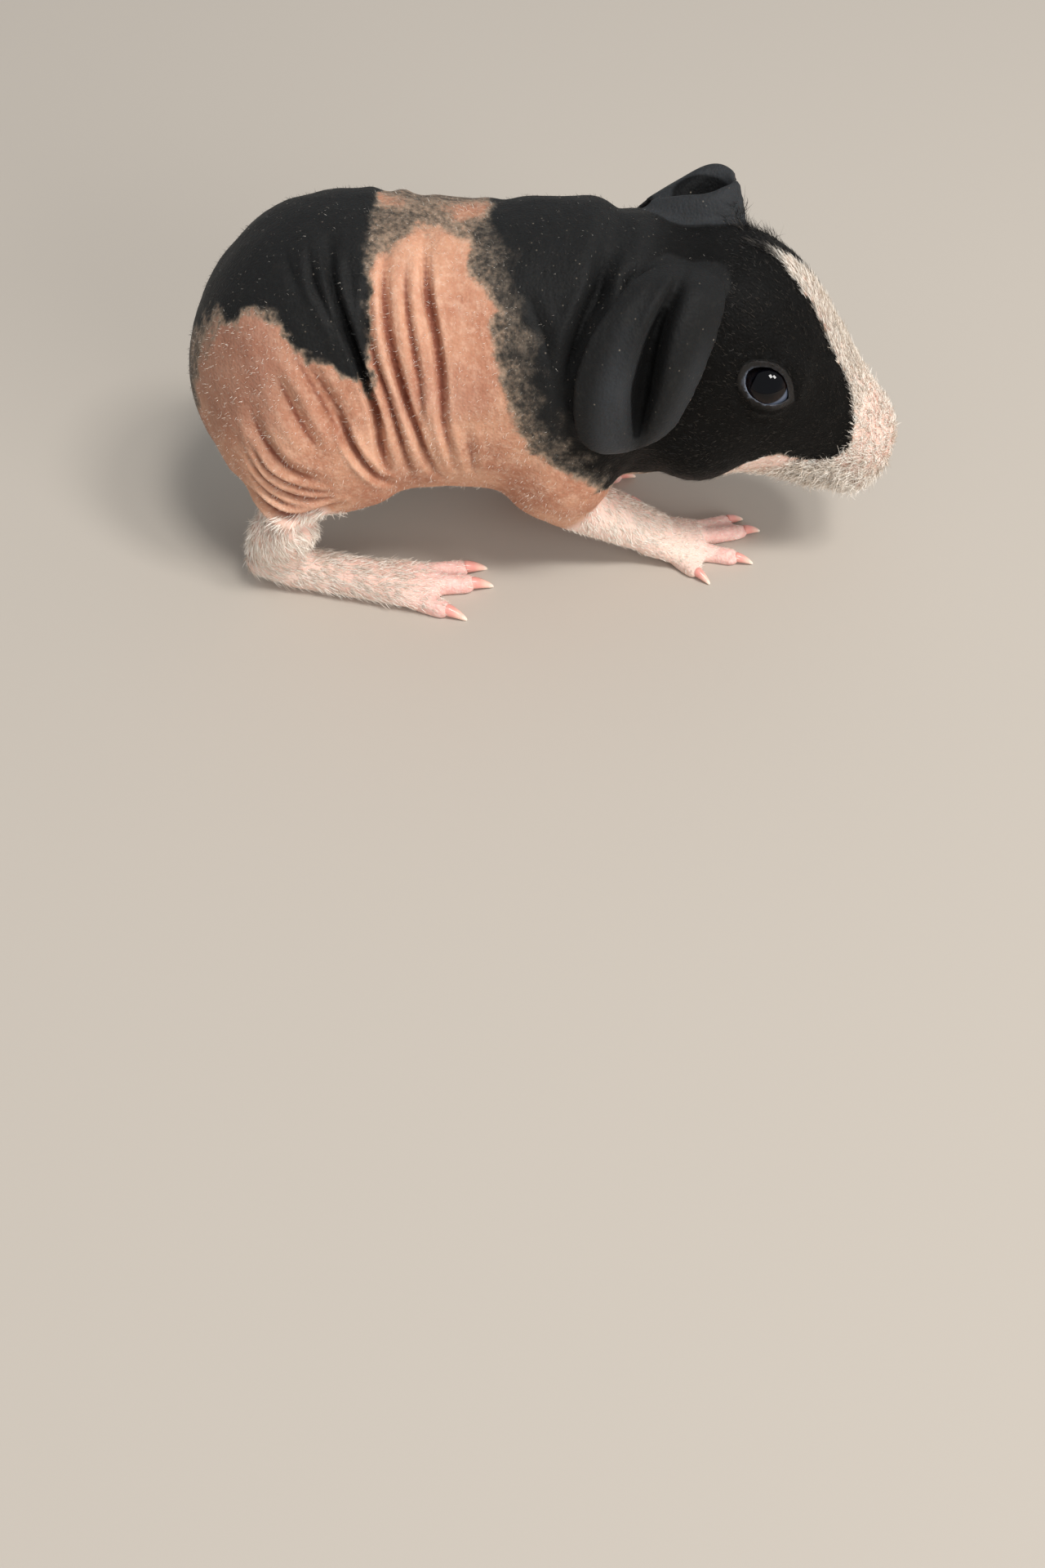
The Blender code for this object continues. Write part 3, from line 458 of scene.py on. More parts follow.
# %% The lines of the folds
# Each has a depth, a half width and its points. Two numbers are a distance along the body and an angle from
# its top.
FOLDS_RIGHT = (
    (1.35, 0.7, (-31.9, -2.3, 62.4), (-31.8, -7.4, 60.6), (-30.8, -13.4, 58.1), (-29.3, -15.5, 54.4),
     (-27.5, -18.1, 49.4), (-26.7, -19, 46.1), (-25.5, -19.5, 41.3), (-25.3, -20, 36.3), (-24.9, -20.1, 32.4),
     (-24.5, -19.8, 27.6)),
    (1.0, 0.6, (-26.1, -12.5, 58.6), (-26, -14.5, 57.1), (-25.8, -17.4, 53.4), (-24.8, -19.1, 48.7),
     (-23.5, -20.2, 44.5), (-22.4, -20.6, 39), (-21.4, -19.8, 32.3), (-20.7, -19, 27)),
    (1.1, 0.62, (-23.4, -5.2, 61.6), (-23.5, -10.8, 59.3), (-23.4, -14.1, 56.3), (-22.9, -16.7, 52.4),
     (-21.8, -18.7, 47.5), (-20.7, -19.6, 43), (-19.5, -19.9, 38.4), (-18.5, -19.4, 33.7),
     (-17.2, -18.7, 29.1), (-16, -18, 26.6)),
    (0.9, 0.58, (-20.3, -8, 60.8), (-20.3, -12.9, 58), (-19.9, -15.7, 55.1), (-19.2, -18.2, 51.1),
     (-18.6, -19.6, 47.2), (-18.4, -20.4, 44.2), (-18.6, -20.6, 40)),
    (0.95, 0.66, (-17, 6.3, 61), (-17.3, 0.8, 61.6), (-17.8, -4.6, 60.8), (-17.6, -9.3, 58.8),
     (-17, -12.8, 56), (-16.2, -15.5, 53.1), (-15.5, -17.7, 49.3), (-15.3, -19.3, 45), (-15.2, -20.2, 40.4),
     (-14.4, -20.6, 34.7), (-13.8, -19.4, 29.8)),
    (0.3, 0.8, (-11.8, -20.2, 40), (-11, -20.1, 32.7), (-10.8, -19.5, 29.9), (-10.1, -18.5, 27.3)),
    (0.7, 0.8, (-35.3, 0.1, 61.8), (-34.6, -7.4, 60.6), (-33.7, -12.3, 58.8), (-32.1, -14.6, 56.6),
     (-30.7, -16.6, 54.6), (-29.5, -17.3, 52.7)),
    (0.4, 0.9, (-38.5, -0.4, 61.1), (-38.1, -6.7, 60.1), (-37.2, -10.1, 59.1), (-35.8, -13.2, 57.4)),
    (0.35, 0.7, (-29.2, 0.5, 62.4), (-28.8, -6.8, 60.8), (-28.2, -12, 58.4), (-27.6, -14.4, 56.4)),
    (1.3, 0.68, (-31.4, -21.2, 42.6), (-30.6, -21.3, 40), (-29.7, -21.4, 36.8), (-28.3, -21.2, 33.3),
     (-26.4, -20.7, 29.5), (-24.5, -19.6, 26.6)),
    (0.45, 1.0, (-34.8, -19.5, 49.8), (-33, -20.6, 46.7), (-30.8, -21.5, 42.8), (-29.3, -22, 39.5)),
    (0.5, 1.3, (-37.7, -18, 51.7), (-35.8, -19.9, 48.6), (-33.9, -21.2, 45.1), (-32.2, -21.5, 41.2),
     (-30.4, -22.4, 35.7)),
    (0.75, 1.2, (-44.7, -20.2, 41.5), (-43.8, -21.8, 38), (-41.9, -22.9, 34.5), (-38.8, -23.2, 31.5),
     (-34.6, -23, 29.9)),
    (0.6, 1.4, (-40.1, -19.6, 47.9), (-38.7, -21, 44.4), (-36.5, -22.6, 39.9), (-34, -23, 35.6)),
    (0.6, 0.55, (-45.4, -20.6, 36.4), (-44.7, -21.4, 34.1), (-43.4, -21.9, 31.4), (-40.9, -22.3, 29.5),
     (-37.5, -22.9, 28.1), (-33.6, -22.5, 27.2)),
    (0.7, 0.55, (-46, -20.6, 33), (-45.5, -21.1, 31.2), (-43.9, -21.5, 28.5), (-40.5, -22.1, 26.4),
     (-36.9, -22.5, 25.7), (-33.8, -22.3, 25.8)),
    (0.5, 0.5, (-46.4, -20, 29.6), (-45.8, -20.6, 27.6), (-44.3, -21.2, 25.8), (-41.2, -21.9, 24.3),
     (-37.6, -22.3, 24)),
    (1.5, 0.9, (-48.6, -16.5, 26), (-46.9, -20.3, 23.8), (-45.1, -21.7, 22.9), (-42.6, -22.6, 22.1),
     (-39.5, -22.6, 21.7), (-36.7, -22.4, 21.8), (-34.6, -21.8, 22.8), (-33, -20.4, 24.2)),
    (1.7, 1.3, (13.5, 7.3, 59.5), (9.7, -4.9, 59.5), (7.9, -11.4, 56.5), (5.9, -15.1, 54.1), (4.2, -18.2, 50),
     (3.6, -19.6, 45)),
    (0.5, 0.8, (16.6, -4.5, 58.9), (13.0, -9.2, 58.2), (10.4, -12.4, 56.6)),
    (0.4, 0.9, (-2.4, -12, 57.5), (0.4, -16.5, 52.6), (2.2, -19, 46)),
)
FOLDS_LEFT = (
    (1.4, 0.75, (-24.6, 22), (-25.6, 40), (-26.2, 54), (-27.2, 74), (-26.6, 96), (-24.6, 118)),
    (1.1, 0.6, (-21.8, 24), (-23, 44), (-24.2, 70), (-24.2, 92), (-22.8, 116)),
    (1.1, 0.62, (-28.6, 24), (-29.6, 44), (-30.4, 62), (-30.8, 80), (-29.4, 102)),
    (1.3, 0.8, (-35.4, 46), (-33.4, 62), (-32.4, 78), (-31, 92), (-28.4, 108), (-26.4, 120)),
    (0.9, 0.7, (-39.6, 56), (-36.4, 74), (-34.2, 90), (-31.2, 106)),
    (0.9, 0.7, (-41, 80), (-37, 95), (-33.4, 108), (-30, 118)),
    (0.6, 1.0, (-44, 60), (-42.6, 76), (-40.4, 90), (-38, 102)),
    (1.05, 0.62, (-18.6, 14), (-19.6, 36), (-20.8, 60), (-21.8, 86), (-21, 112)),
    (0.85, 0.56, (-16, 18), (-17.2, 44), (-18.4, 66), (-19, 92), (-18.4, 110)),
    (0.75, 0.58, (-13.2, 16), (-14.2, 38), (-15.4, 62), (-16.2, 86), (-16, 104)),
    (0.6, 0.58, (-10.6, 20), (-11.4, 42), (-12.6, 64), (-13.4, 84)),
    (1.3, 1.0, (-7.6, 16), (-5.8, 34), (-5.2, 52), (-6.2, 72), (-8.4, 96)),
    (0.6, 0.6, (-49.5, 14, 31), (-46, 19.5, 27), (-42, 22.6, 25), (-37, 22.4, 24.4)),
    (0.6, 0.5, (-49.5, 15, 26), (-46, 20, 23), (-41.6, 22.6, 21.4), (-37, 21.6, 21)),
    (0.4, 0.5, (-49, 17, 20.8), (-46, 20.6, 19), (-42, 21.8, 17.6), (-38.6, 20, 17.4)),
    (1.2, 1.1, (12.4, 18), (10.3, 34), (7.6, 52), (6.2, 66)),
    (0.8, 0.9, (3.8, 18), (2.6, 34), (0.8, 52), (-0.4, 68)),
)


def smooth_line(points, step):
    """More points along a line through a few, about step apart, on a curve that passes through each."""
    points = np.array(points, float)
    ends = np.vstack((2 * points[0] - points[1], points, 2 * points[-1] - points[-2]))
    made = []
    for k in range(len(points) - 1):
        count = max(2, round(np.linalg.norm(points[k + 1] - points[k]) / step))
        made.append(curve(*ends[k:k + 4], np.linspace(0, 1, count, endpoint=False)[:, None]))
    return np.vstack((*made, points[-1:]))


def on_skin(tree, side, stations):
    """The points of one fold, moved onto the skin."""
    found = []
    for station in stations:
        if len(station) == 2:
            turn = math.radians(station[1])
            aim = Vector((0, side * math.sin(turn), math.cos(turn)))
            place = tree.ray_cast(to_model((station[0], 0, 38)), aim)[0]
        else:
            place = tree.find_nearest(to_model(station))[0]
        if place is not None:
            found.append(np.array(place) / MM - SHIFT)
    line = smooth_line(found, 0.5)
    return np.array([tree.find_nearest(to_model(p))[0] for p in line]) / MM - SHIFT


def away_from(line, points, reach):
    """Which points lie near a line, how far off each is, and how far along the line, from 0 to 1."""
    near = np.flatnonzero(((points > line.min(0) - reach) & (points < line.max(0) + reach)).all(1))
    apart = np.linalg.norm(points[near, None] - line[None], axis=2)
    best = apart.argmin(1)
    return near, apart.min(1), best / (len(line) - 1)


# %% Press the folds into the skin
tree = surface_tree(skin.data)
points = places(skin.data)
normals = read_vectors(skin.data, "vertex_normals", "vector")
move, fold_shade = np.zeros(len(points)), np.zeros(len(points))
for side, strength, folds in ((RIGHT, 1.0, FOLDS_RIGHT), (LEFT, 0.82, FOLDS_LEFT)):
    for depth, half, *stations in folds:
        near, apart, along = away_from(on_skin(tree, side, stations), points, 4 * half)
        fade = np.sin(np.pi * np.clip(along, 0.03, 0.97)) ** 0.6 * strength
        apart = apart / half
        move[near] += fade * depth * (0.42 * bell(apart - 2.0, 0.85) - np.exp(-apart**2))
        # Painted shade: how dark the skin is painted along the fold's line.
        dark = fade * min(1.0, 0.3 + depth) * bell(apart * half, 0.42)
        fold_shade[near] = np.maximum(fold_shade[near], dark)
# They fade over the back, whose line is smooth.
down = np.degrees(np.arctan2(points[:, 1], points[:, 2] - 38))
spine = np.where(down < 0, ramp(-down, 8, 34), ramp(down, 53, 66))
move *= spine
fold = np.clip(move, -1.4, 0.6)
fold_shade *= 0.3 + 0.7 * spine
print("folds pressed:", len(FOLDS_RIGHT + FOLDS_LEFT), "fold_shade", round(float(-move.min()), 2), "mm")

# %% [markdown]
# ## Small unevenness
# No living skin is perfectly smooth between its folds. A slow wave of a tenth of a millimetre keeps the
# light from gliding over it as over plastic. The finer grain is left to the material's bump.

# %% Slow waves in the skin, then move it
waves = noise_at(points, 0.24) * 0.16 + noise_at(points, 0.6) * 0.05
move += waves * ramp(points[:, 2], 6, 12) * (1 - ears)
points += normals * np.clip(move, -1.5, 0.7)[:, None]
put_places(skin.data, points)
smooth(skin, 0.25, 1)
print("skin:", len(skin.data.polygons) * 2, "triangles")


# %% [markdown]
# ## Lids, mouth and nose
# The lids are the front of a shell round the eye, slit open. Here the ball that was joined in is hollowed
# with a ball of the eye's size, and a prism of the opening's outline cuts the slit, which gives lids of
# even thickness that lie on the eye. The cut is then rounded, and wrinkles are pressed in outside it. The
# mouth is a groove that runs back under the nose, and the nostrils are slanted slits.

# %% Values carried over a change of the mesh
def carry(before, arrays):
    """The arrays' values at the points before a change, for the nearest points after it."""
    finder = KDTree(len(before))
    for i, place in enumerate(before):
        finder.insert(place, i)
    finder.balance()
    nearest = np.array([finder.find(place)[1] for place in places(skin.data)])
    return [values[nearest] for values in arrays]


# %% Hollow the sockets and cut the lids open
# The opening's outline on the right eye, seen along its axis with the nose to the right.
LID_OUTLINE = np.array((
    (-3.45, -1.2), (-4.0, -0.25), (-4.1, 0.8), (-3.6, 1.55), (-2.6, 2.2), (-1.44, 2.62), (-0.1, 2.66),
    (1.17, 2.3), (2.2, 1.62), (3.05, 0.8), (3.9, -0.1), (3.3, -0.75), (2.4, -1.5), (1.11, -2.1),
    (-0.17, -2.34), (-1.45, -2.26), (-2.6, -1.87)))
# How far along the eye's axis the prism's rings lie, and how wide each is.
PRISM_RINGS = ((0.6, 0.92), (3.2, 1.0), (9.0, 1.3))


def opening(side):
    """A prism of the outline, which widens outward."""
    count = len(LID_OUTLINE)
    rings = [(x * wide * MM, -side * y * wide * MM, z * MM)
             for z, wide in PRISM_RINGS for x, y in LID_OUTLINE]
    walls = [(i, j, count + j, count + i) for i in range(count) for j in [(i + 1) % count]]
    walls += [tuple(count + corner for corner in wall) for wall in walls]
    mesh = bpy.data.meshes.new("opening")
    mesh.from_pydata(rings, [], walls + [tuple(range(count)), tuple(range(2 * count, 3 * count))])
    return new_piece("opening", mesh)


before = places(skin.data)
for side in SIDES:
    for cutter in (add_ball(EYE_RADIUS + 0.05, 64, 40), opening(side)):
        cutter.data.transform(eye_place(side))
        edit_all(cutter)
        bpy.ops.mesh.normals_make_consistent(inside=False)
        end_edit()
        apply_modifier(skin, "BOOLEAN", operation="DIFFERENCE", object=cutter, solver="MANIFOLD")
        bpy.data.objects.remove(cutter)
skin.data.calc_loop_triangles()
print("lids cut:", len(skin.data.loop_triangles), "triangles")
fold, fold_shade, ears, waves = carry(before, (fold, fold_shade, ears, waves))


# %% Round the lids and press in their wrinkles
# How far out each wrinkle lies, its depth and half width, and between which heights it runs round the eye.
WRINKLES = ((1.48, 0.50, 0.08, -0.35, 1.0), (1.80, 0.26, 0.09, 0.1, 0.95),
            (1.62, 0.22, 0.10, -1.0, -0.45), (2.15, 0.18, 0.12, -0.1, 0.7))


def round_the_eye(side, points):
    """Points in an eye's frame, how far off each is, how far out with 1 on the outline, and its angle."""
    eye = inside(eye_frame(side), points)
    turn = np.arctan2(-side * eye[:, 1], eye[:, 0])
    angles = np.arctan2(LID_OUTLINE[:, 1], LID_OUTLINE[:, 0])
    order = np.argsort(angles)
    edge = np.interp(turn, angles[order], np.linalg.norm(LID_OUTLINE, axis=1)[order], period=2 * math.pi)
    return eye, np.linalg.norm(eye, axis=1), np.linalg.norm(eye[:, :2], axis=1) / edge, turn


points = places(skin.data)
rim = np.zeros(len(points))
for side in SIDES:
    eye, off, reach, turn = round_the_eye(side, points)
    rim = np.maximum(rim, (eye[:, 2] > 0.3) * ramp(reach, 0.8, 0.9) * fall(reach, 1.15, 1.4)
                     * (off > EYE_RADIUS + 0.02) * (off < 6))
smooth(skin, 0.5, 4, rim)

points = places(skin.data)
lid, wet, wrinkle, hollow = (np.zeros(len(points)) for _ in range(4))
for side in SIDES:
    eye, off, reach, turn = round_the_eye(side, points)
    front = (eye[:, 2] > -0.5) * (reach < 3.2) * (off > EYE_RADIUS + 0.3) * (off < 12)
    upper = np.sin(turn - 0.35)
    move = 0.30 * bell(reach - 1.22, 0.10) * (0.45 + 0.55 * ramp(upper, -0.4, 0.3))
    for at, depth, half, low, high in WRINKLES:
        arc = ramp(upper, low - 0.25, low + 0.1) * fall(upper, high, high + 0.2)
        groove = bell(reach - at - 0.06 * np.sin(2 * turn + 4 * at), half) * arc
        move -= groove * depth
        wrinkle -= groove * depth * front
    eye += unit(eye) * (move * front)[:, None]
    lid = np.maximum(lid, fall(reach, 1.16, 1.42) * (eye[:, 2] > 0) * (off < 7))
    edge = fall(reach, 0.98, 1.08) * (eye[:, 2] > 0) * (off < 6) * (off > EYE_RADIUS + 0.12)
    # The wet rim of the lids, mostly the lower one, which carries a painted reflection.
    wet = np.maximum(wet, edge * (0.12 + 0.88 * ramp(-np.sin(turn + 0.5), -0.25, 0.45)))
    hollow = np.maximum(hollow, fall(off, 4.6, 4.9))
    back_out = np.array(eye_frame(side))
    points[front] = (eye @ back_out[:3, :3].T + back_out[:3, 3])[front]
put_places(skin.data, points)
print("lids shaped:", int((lid > 0.5).sum()), "points")

# %% Mouth and nostrils
tree = surface_tree(skin.data)
points = places(skin.data)
normals = read_vectors(skin.data, "vertex_normals", "vector")


def mouth_point(k):
    """A ray out from inside the muzzle, k steps round it from the middle, to the mouth's line."""
    turn = math.radians(k * 17.2)
    height = -4.6 - 1.7 * (1 - abs(k) / 6) ** 2 + 1.1 * (abs(k) / 6) ** 3
    aim = HEAD.to_3x3() @ Vector((math.cos(turn) * 1.25, math.sin(turn), -0.12))
    start = to_model(HEAD @ Vector((36.0, 0, height)))
    return np.array(tree.ray_cast(start, aim.normalized())[0]) / MM - SHIFT


mouth_line = smooth_line([mouth_point(k) for k in range(-6, 7)], 0.4)
near, apart, along = away_from(mouth_line, points, 3.5)
lips, press = np.zeros(len(points)), np.zeros(len(points))
lips[near] = fall(apart, 0.9, 2.6)
fade = np.sin(np.pi * np.clip(along, 0.04, 0.96)) ** 0.5
press[near] += fade * (0.3 * bell(apart - 1.15, 0.5) - 0.7 * bell(apart, 0.42))
head = inside(HEAD, points)
nostrils = np.zeros(len(points))
for side in SIDES:
    slit = head - np.array((43.6, 2.5 * side, 0.7))
    along = slit[:, 1] * side * 0.75 + slit[:, 2] * 0.66
    across = -slit[:, 1] * side * 0.66 + slit[:, 2] * 0.75 - 0.22 * along**2
    nostrils += np.exp(-(along / 1.15) ** 2 - (across / 0.5) ** 2) * (head[:, 0] > 39)
cleft = bell(head[:, 1], 0.35) * (head[:, 0] > 40) * ramp(-head[:, 2], -0.5, 1.0)
press -= 0.95 * nostrils + 0.35 * cleft
points += normals * press[:, None]
put_places(skin.data, points)
print("mouth and nostrils pressed in")

# %% Spend the triangles where the form needs them
# Collapsing edges keeps folds and lids, and thins only what is nearly flat.
SKIN_TRIANGLES = 196000
before = places(skin.data)
skin.data.calc_loop_triangles()
apply_modifier(skin, "DECIMATE", ratio=SKIN_TRIANGLES / len(skin.data.loop_triangles),
               use_collapse_triangulate=True)
fold, fold_shade, wrinkle, lid, wet, hollow, lips, press, nostrils, ears, waves = carry(
    before, (fold, fold_shade, wrinkle, lid, wet, hollow, lips, press, nostrils, ears, waves))
print("skin:", len(skin.data.polygons), "triangles")


# %% [markdown]
# ## Where the black, the white and the pink lie
# The patches are part of the animal, so they are written as borders on its body and stored on the skin
# as masks from 0 to 1. A mask that rises slowly makes a wide mottled edge, and one that rises fast a
# crisp edge. The right side has a black saddle, a band of flesh colour and a black shoulder. The left
# side is black behind, mottled in the middle and black again at the shoulder.

# %% Masks of the body
# On the right side: the saddle's lower border as distance along the body and height.
SADDLE_EDGE = ((-58, 43), (-54, 47.2), (-50.4, 50.3), (-46.1, 52.4), (-43.3, 55), (-41.3, 55.4),
               (-38.8, 53.6), (-36.5, 51.2), (-32.3, 49.9), (-28.7, 48.4), (-27.2, 46.4), (-26, 43.8))
# The shoulder's rear border as height and distance along the body.
SHOULDER_EDGE = ((20, 14), (26.2, 7.5), (32, 2.1), (38.7, -3.1), (45.7, -5.5), (51.3, -6.2), (55.9, -7.4),
                 (58.8, -9.9), (60.8, -11.2), (61.5, -13.5))
# How far down from the spine the grey of the back reaches, along the body.
BACK_EDGE = ((-26, -11), (-24.8, -9.5), (-21.4, -6.3), (-18.9, -1.5), (-16, -1.8), (-12.6, -4.5))


def read_line(table, at):
    first, second = np.array(table, float).T
    return np.interp(at, first, second)


def store(mesh, name, values):
    layer = mesh.attributes.get(name) or mesh.attributes.new(name, "FLOAT", "POINT")
    layer.data.foreach_set("value", np.asarray(values, np.float32))


def body_pigment(points):
    """How black the skin is, 0 to 1, on the trunk, neck and legs."""
    x, y, z = points.T
    slow, quick = noise_at(points, 0.13), noise_at(points, 0.35, (7, 3, 1))
    jagged = noise_at(points, 0.9, (3, 9, 4))
    edge = x + 1.2 * quick
    saddle = (z + 1.7 * quick + 1.3 * jagged - read_line(SADDLE_EDGE, x)) * 0.85
    saddle = np.minimum(saddle, -25.9 - x - 0.6 * quick - 0.7 * jagged)
    rear = np.minimum(np.minimum(y + 4.6 + 1.2 * quick, -50 - x), z - 27)
    back = ramp(y - read_line(BACK_EDGE, x) + 2.0 * quick, -3.6, 1.4) * ramp(-x, 8, 11)
    back *= 0.50 + 0.12 * slow + 0.04 * jagged
    past = edge - read_line(SHOULDER_EDGE, z)
    shoulder = 0.62 * ramp(past + 2.6 * slow + 0.6 * jagged, -2.8, 1.6)
    shoulder += 0.38 * ramp(past + 2 * quick, 2.4, 9.5)
    right = largest(ramp(saddle, -1.9, 1.7), ramp(rear, -1.6, 1.6) * 0.85, back, shoulder * ramp(z, 19, 27))
    rump = ramp(-24.4 - x - 0.05 * (z - 40) + 1.2 * quick, -1.1, 1.1) * ramp(z - 0.35 * (x + 46), 8.6, 11)
    middle = np.clip(0.36 + 0.50 * slow + 0.06 * jagged + 0.08 * ramp(z, 48, 60), 0.14, 0.50)
    front = ramp(edge + 8.4 + 2.0 * slow, -2.6, 2.4) * ramp(z + 2.0 * quick, 24, 30)
    arm = fall(span(points, (-3, 17.5, 23), (9.5, 9, 10)) + 0.2 * quick, 0.8, 1.1)
    low = np.clip(0.26 + 0.5 * slow, 0.0, 0.42) * ramp(z, 11, 16)
    left = largest(rump, middle * ramp(z, 26, 32), front, arm, low * ramp(-np.abs(x + 9), -17, -13))
    share = ramp(y, -2.0, 2.5)
    throat = ramp(span(points, (17.6, -14.6, 28.0)) + 1.5 * quick, 2.4, 4.4)
    return (right * (1 - share) + left * share) * throat


def pale_feet(points):
    """1 where the legs carry white hair over pale skin: below the ankles and the wrists."""
    x, y, z = points.T
    sock = np.where(y < 0, 20.6 - 6.0 * ramp(x, -35.5, -32.5), 10.4)
    uneven = noise_at(points, 0.7, (5, 2, 8))
    hind = (x < -10) * fall(z - 0.18 * (x + 45) - sock + 1.5 * uneven * (y > 0), -1.3, 1.3)
    fore_right = (x > -2) * (y < 2.2) * ramp(0.75 * x - 0.66 * z, -6.2, -3.4) * fall(z, 17, 19)
    fore_left = (y > 0) * (x > -10) * ramp(0.75 * x - 0.66 * z, -6.6, -4.2) * fall(z, 10, 12)
    return largest(hind, fore_right, fore_left)


# %% [markdown]
# On the head a white blaze runs between the eyes, narrow at the crown and wide at the nose, and joins the
# white of the muzzle and chin. Its borders are written in the head's own frame.

# %% Masks of the head
BLAZE_RIGHT = ((4, 0.6), (6.3, -0.6), (8.3, -1.2), (11, -2.3), (13.8, -3.8), (17.3, -4.3), (20.7, -5.0),
               (23.6, -5.4), (27.2, -5.3), (30.1, -5.4), (33, -7.0))
BLAZE_LEFT = ((4, 0.5), (8, 0.7), (11, 1.3), (14, 2.2), (18, 3.5), (22, 4.6), (26, 5.4), (30, 6.4), (33, 7.8))
# Height over the head's axis, and how far ahead the white of the muzzle begins there.
MUZZLE_EDGE = ((-12, 26), (-6, 31), (-3, 33), (-1, 33.8), (1.6, 35.4), (5.6, 33.5), (9, 30.8), (12.4, 27))
# Distance along the head, and the height below which the jaw and chin are white.
JAW_EDGE = ((18.5, -9.5), (20.8, -6.2), (22.7, -3.6), (24.6, -2.2), (27.5, -2.8), (30.8, -2.9), (34, -1.0))


def head_white(head):
    """How far inside the white of the face a point is, in millimetres."""
    s, across, up = head.T
    blaze = np.minimum(across - read_line(BLAZE_RIGHT, s), read_line(BLAZE_LEFT, s) - across)
    blaze = np.where((up > 4) & (s > 4), blaze, -9)
    muzzle = (s - read_line(MUZZLE_EDGE, up)) * 0.85
    jaw = np.minimum(read_line(JAW_EDGE, s) - up, s - 18.5)
    return largest(blaze, muzzle, np.where(up < 1, jaw, -9)) + 0.7 * noise_at(head, 0.9)


points = places(skin.data)
x, y, z = points.T
head = inside(HEAD, points)
on_head = ramp(head[:, 0], -1, 3) * (z > 17) * (1 - ears)
face = ramp(head_white(head), -0.55, 0.55) * on_head
crown = 1 - 0.85 * fall(head[:, 0], 5.5, 12) * (head[:, 2] > 8)
feet = pale_feet(points)
pigment = np.maximum(body_pigment(points), on_head * (z > 24))
pigment = np.maximum(pigment * (1 - face * crown), ears) * (1 - feet)
pale = np.maximum(feet, face)
tan = spot(points, (-3.2, 11.2, 6.4), (5.2, 6.2, 5.0), 0.7, 1.15) * (y > 2.5)
toes = np.where(x < -5, ramp(x, -27, -15), np.where(y < 2.4, ramp(x, 25, 34), ramp(x, 4.5, 13)))
toes = toes * fall(z, 5.5, 8.5)
nose = spot(head, (44.6, 0, -0.6), (3.2, 4.4, 4.2), 0.75, 1.15) * on_head
pink = largest(toes, nose, lips * on_head * 0.9, nostrils)
# Painted light: the ears are painted slate where this is high, in the middle of the right ear's lobes, and
# half as much all over the left ear.
lit = np.where(y < 0, 0.0, 0.5)
for place, light in ear_light:
    lit = np.maximum(lit, light * bell(span(points, place, (1, 1 / 0.6, 1)), 3.2))
# Painted shade: the neck behind the ears is painted nearly as deep a black as the face.
tone = np.maximum(on_head, 0.75 * ramp(head[:, 0], -14, -6) * (z > 17)) * (1 - ears) - ears * lit
# The rear of the haunch, and a spot low on it, are painted darker and greyer, as painted shade.
dusk = spot(points, (-46, -14, 44), (13, 14, 13), 0.35, 1.15)
dusk = np.clip(dusk + 0.5 * spot(points, (-43, -20, 34), (5, 6, 4), 0.3, 1.2), 0, 1)
# Painted shade: the skin is painted darker in its fold lines, lid wrinkles, nostrils and mouth groove.
crease = 0.45 * np.clip(-fold, 0, 1.2) + 0.85 * fold_shade + np.clip(-wrinkle, 0, 1) * 0.8 + nostrils
crease += 0.4 * np.clip(-press, 0, 1)
# Painted shade down the slit of the right ear.
for place, half in ear_slit:
    crease = np.maximum(crease, 1.3 * spot(points, place, (1, 1 / 0.45, 1), half, half + 0.7))
# Painted shade inside the cup of the left ear.
cup = spot(points, (24.6, 12.9, 57.8), (5.6, 3.7, 4.1), 0.72, 0.98)
crease = np.maximum(crease, 1.3 * cup * (ears > 0))
# The tops of the rolls beside each fold are painted paler, as painted light.
masks = {"pigment": pigment, "pale": pale, "tan": tan, "pink": pink, "tone": tone, "crease": crease,
         "ridge": np.clip(fold, 0, 1), "lid": lid, "wet": wet, "dusk": dusk}
for name, values in masks.items():
    store(skin.data, name, values)
print("black share of the skin:", round(float(pigment.mean()), 2), " pale:", round(float(pale.mean()), 2))


# %% [markdown]
# ## Building blocks for the finishes
# Each effect is a node group with a few named inputs, so that it can be tuned and used again: a mask whose
# edge breaks up into specks, which skin and hair share, the grain of skin, and the colour of skin from the
# masks. All patterns read Object coordinates, which stay on the animal when it is seen from another side.

# %% Helpers that make nodes
SOCKET = bpy.types.NodeSocket
VALUE, COLOUR, VECTOR = "NodeSocketFloat", "NodeSocketColor", "NodeSocketVector"


def linear(colour):
    """A colour of 0 to 255, as seen on a screen, as the values that a shader takes."""
    scaled = [c / 255 for c in colour]
    return (*[c / 12.92 if c < 0.04 else ((c + 0.055) / 1.055) ** 2.4 for c in scaled], 1.0)


def set_inputs(node, values):
    """Fills a node's inputs. A socket is linked, and anything else is a constant."""
    for name, value in values.items():
        if isinstance(value, SOCKET):
            node.id_data.links.new(value, node.inputs[name])
        else:
            node.inputs[name].default_value = value


def add(tree, kind, inputs=None, **settings):
    """A new node in a tree, which may be given as one of its sockets."""
    node = tree.id_data.nodes.new(kind)
    for name, value in settings.items():
        setattr(node, name, value)
    set_inputs(node, inputs or {})
    return node


def maths(operation, *values):
    socket = next(value for value in values if isinstance(value, SOCKET))
    return add(socket, "ShaderNodeMath", dict(enumerate(values)), operation=operation).outputs[0]


def times(first, second):
    return maths("MULTIPLY", first, second)


def plus(first, second):
    return maths("ADD", first, second)


def less(first, second):
    """The first minus the second."""
    return maths("SUBTRACT", first, second)


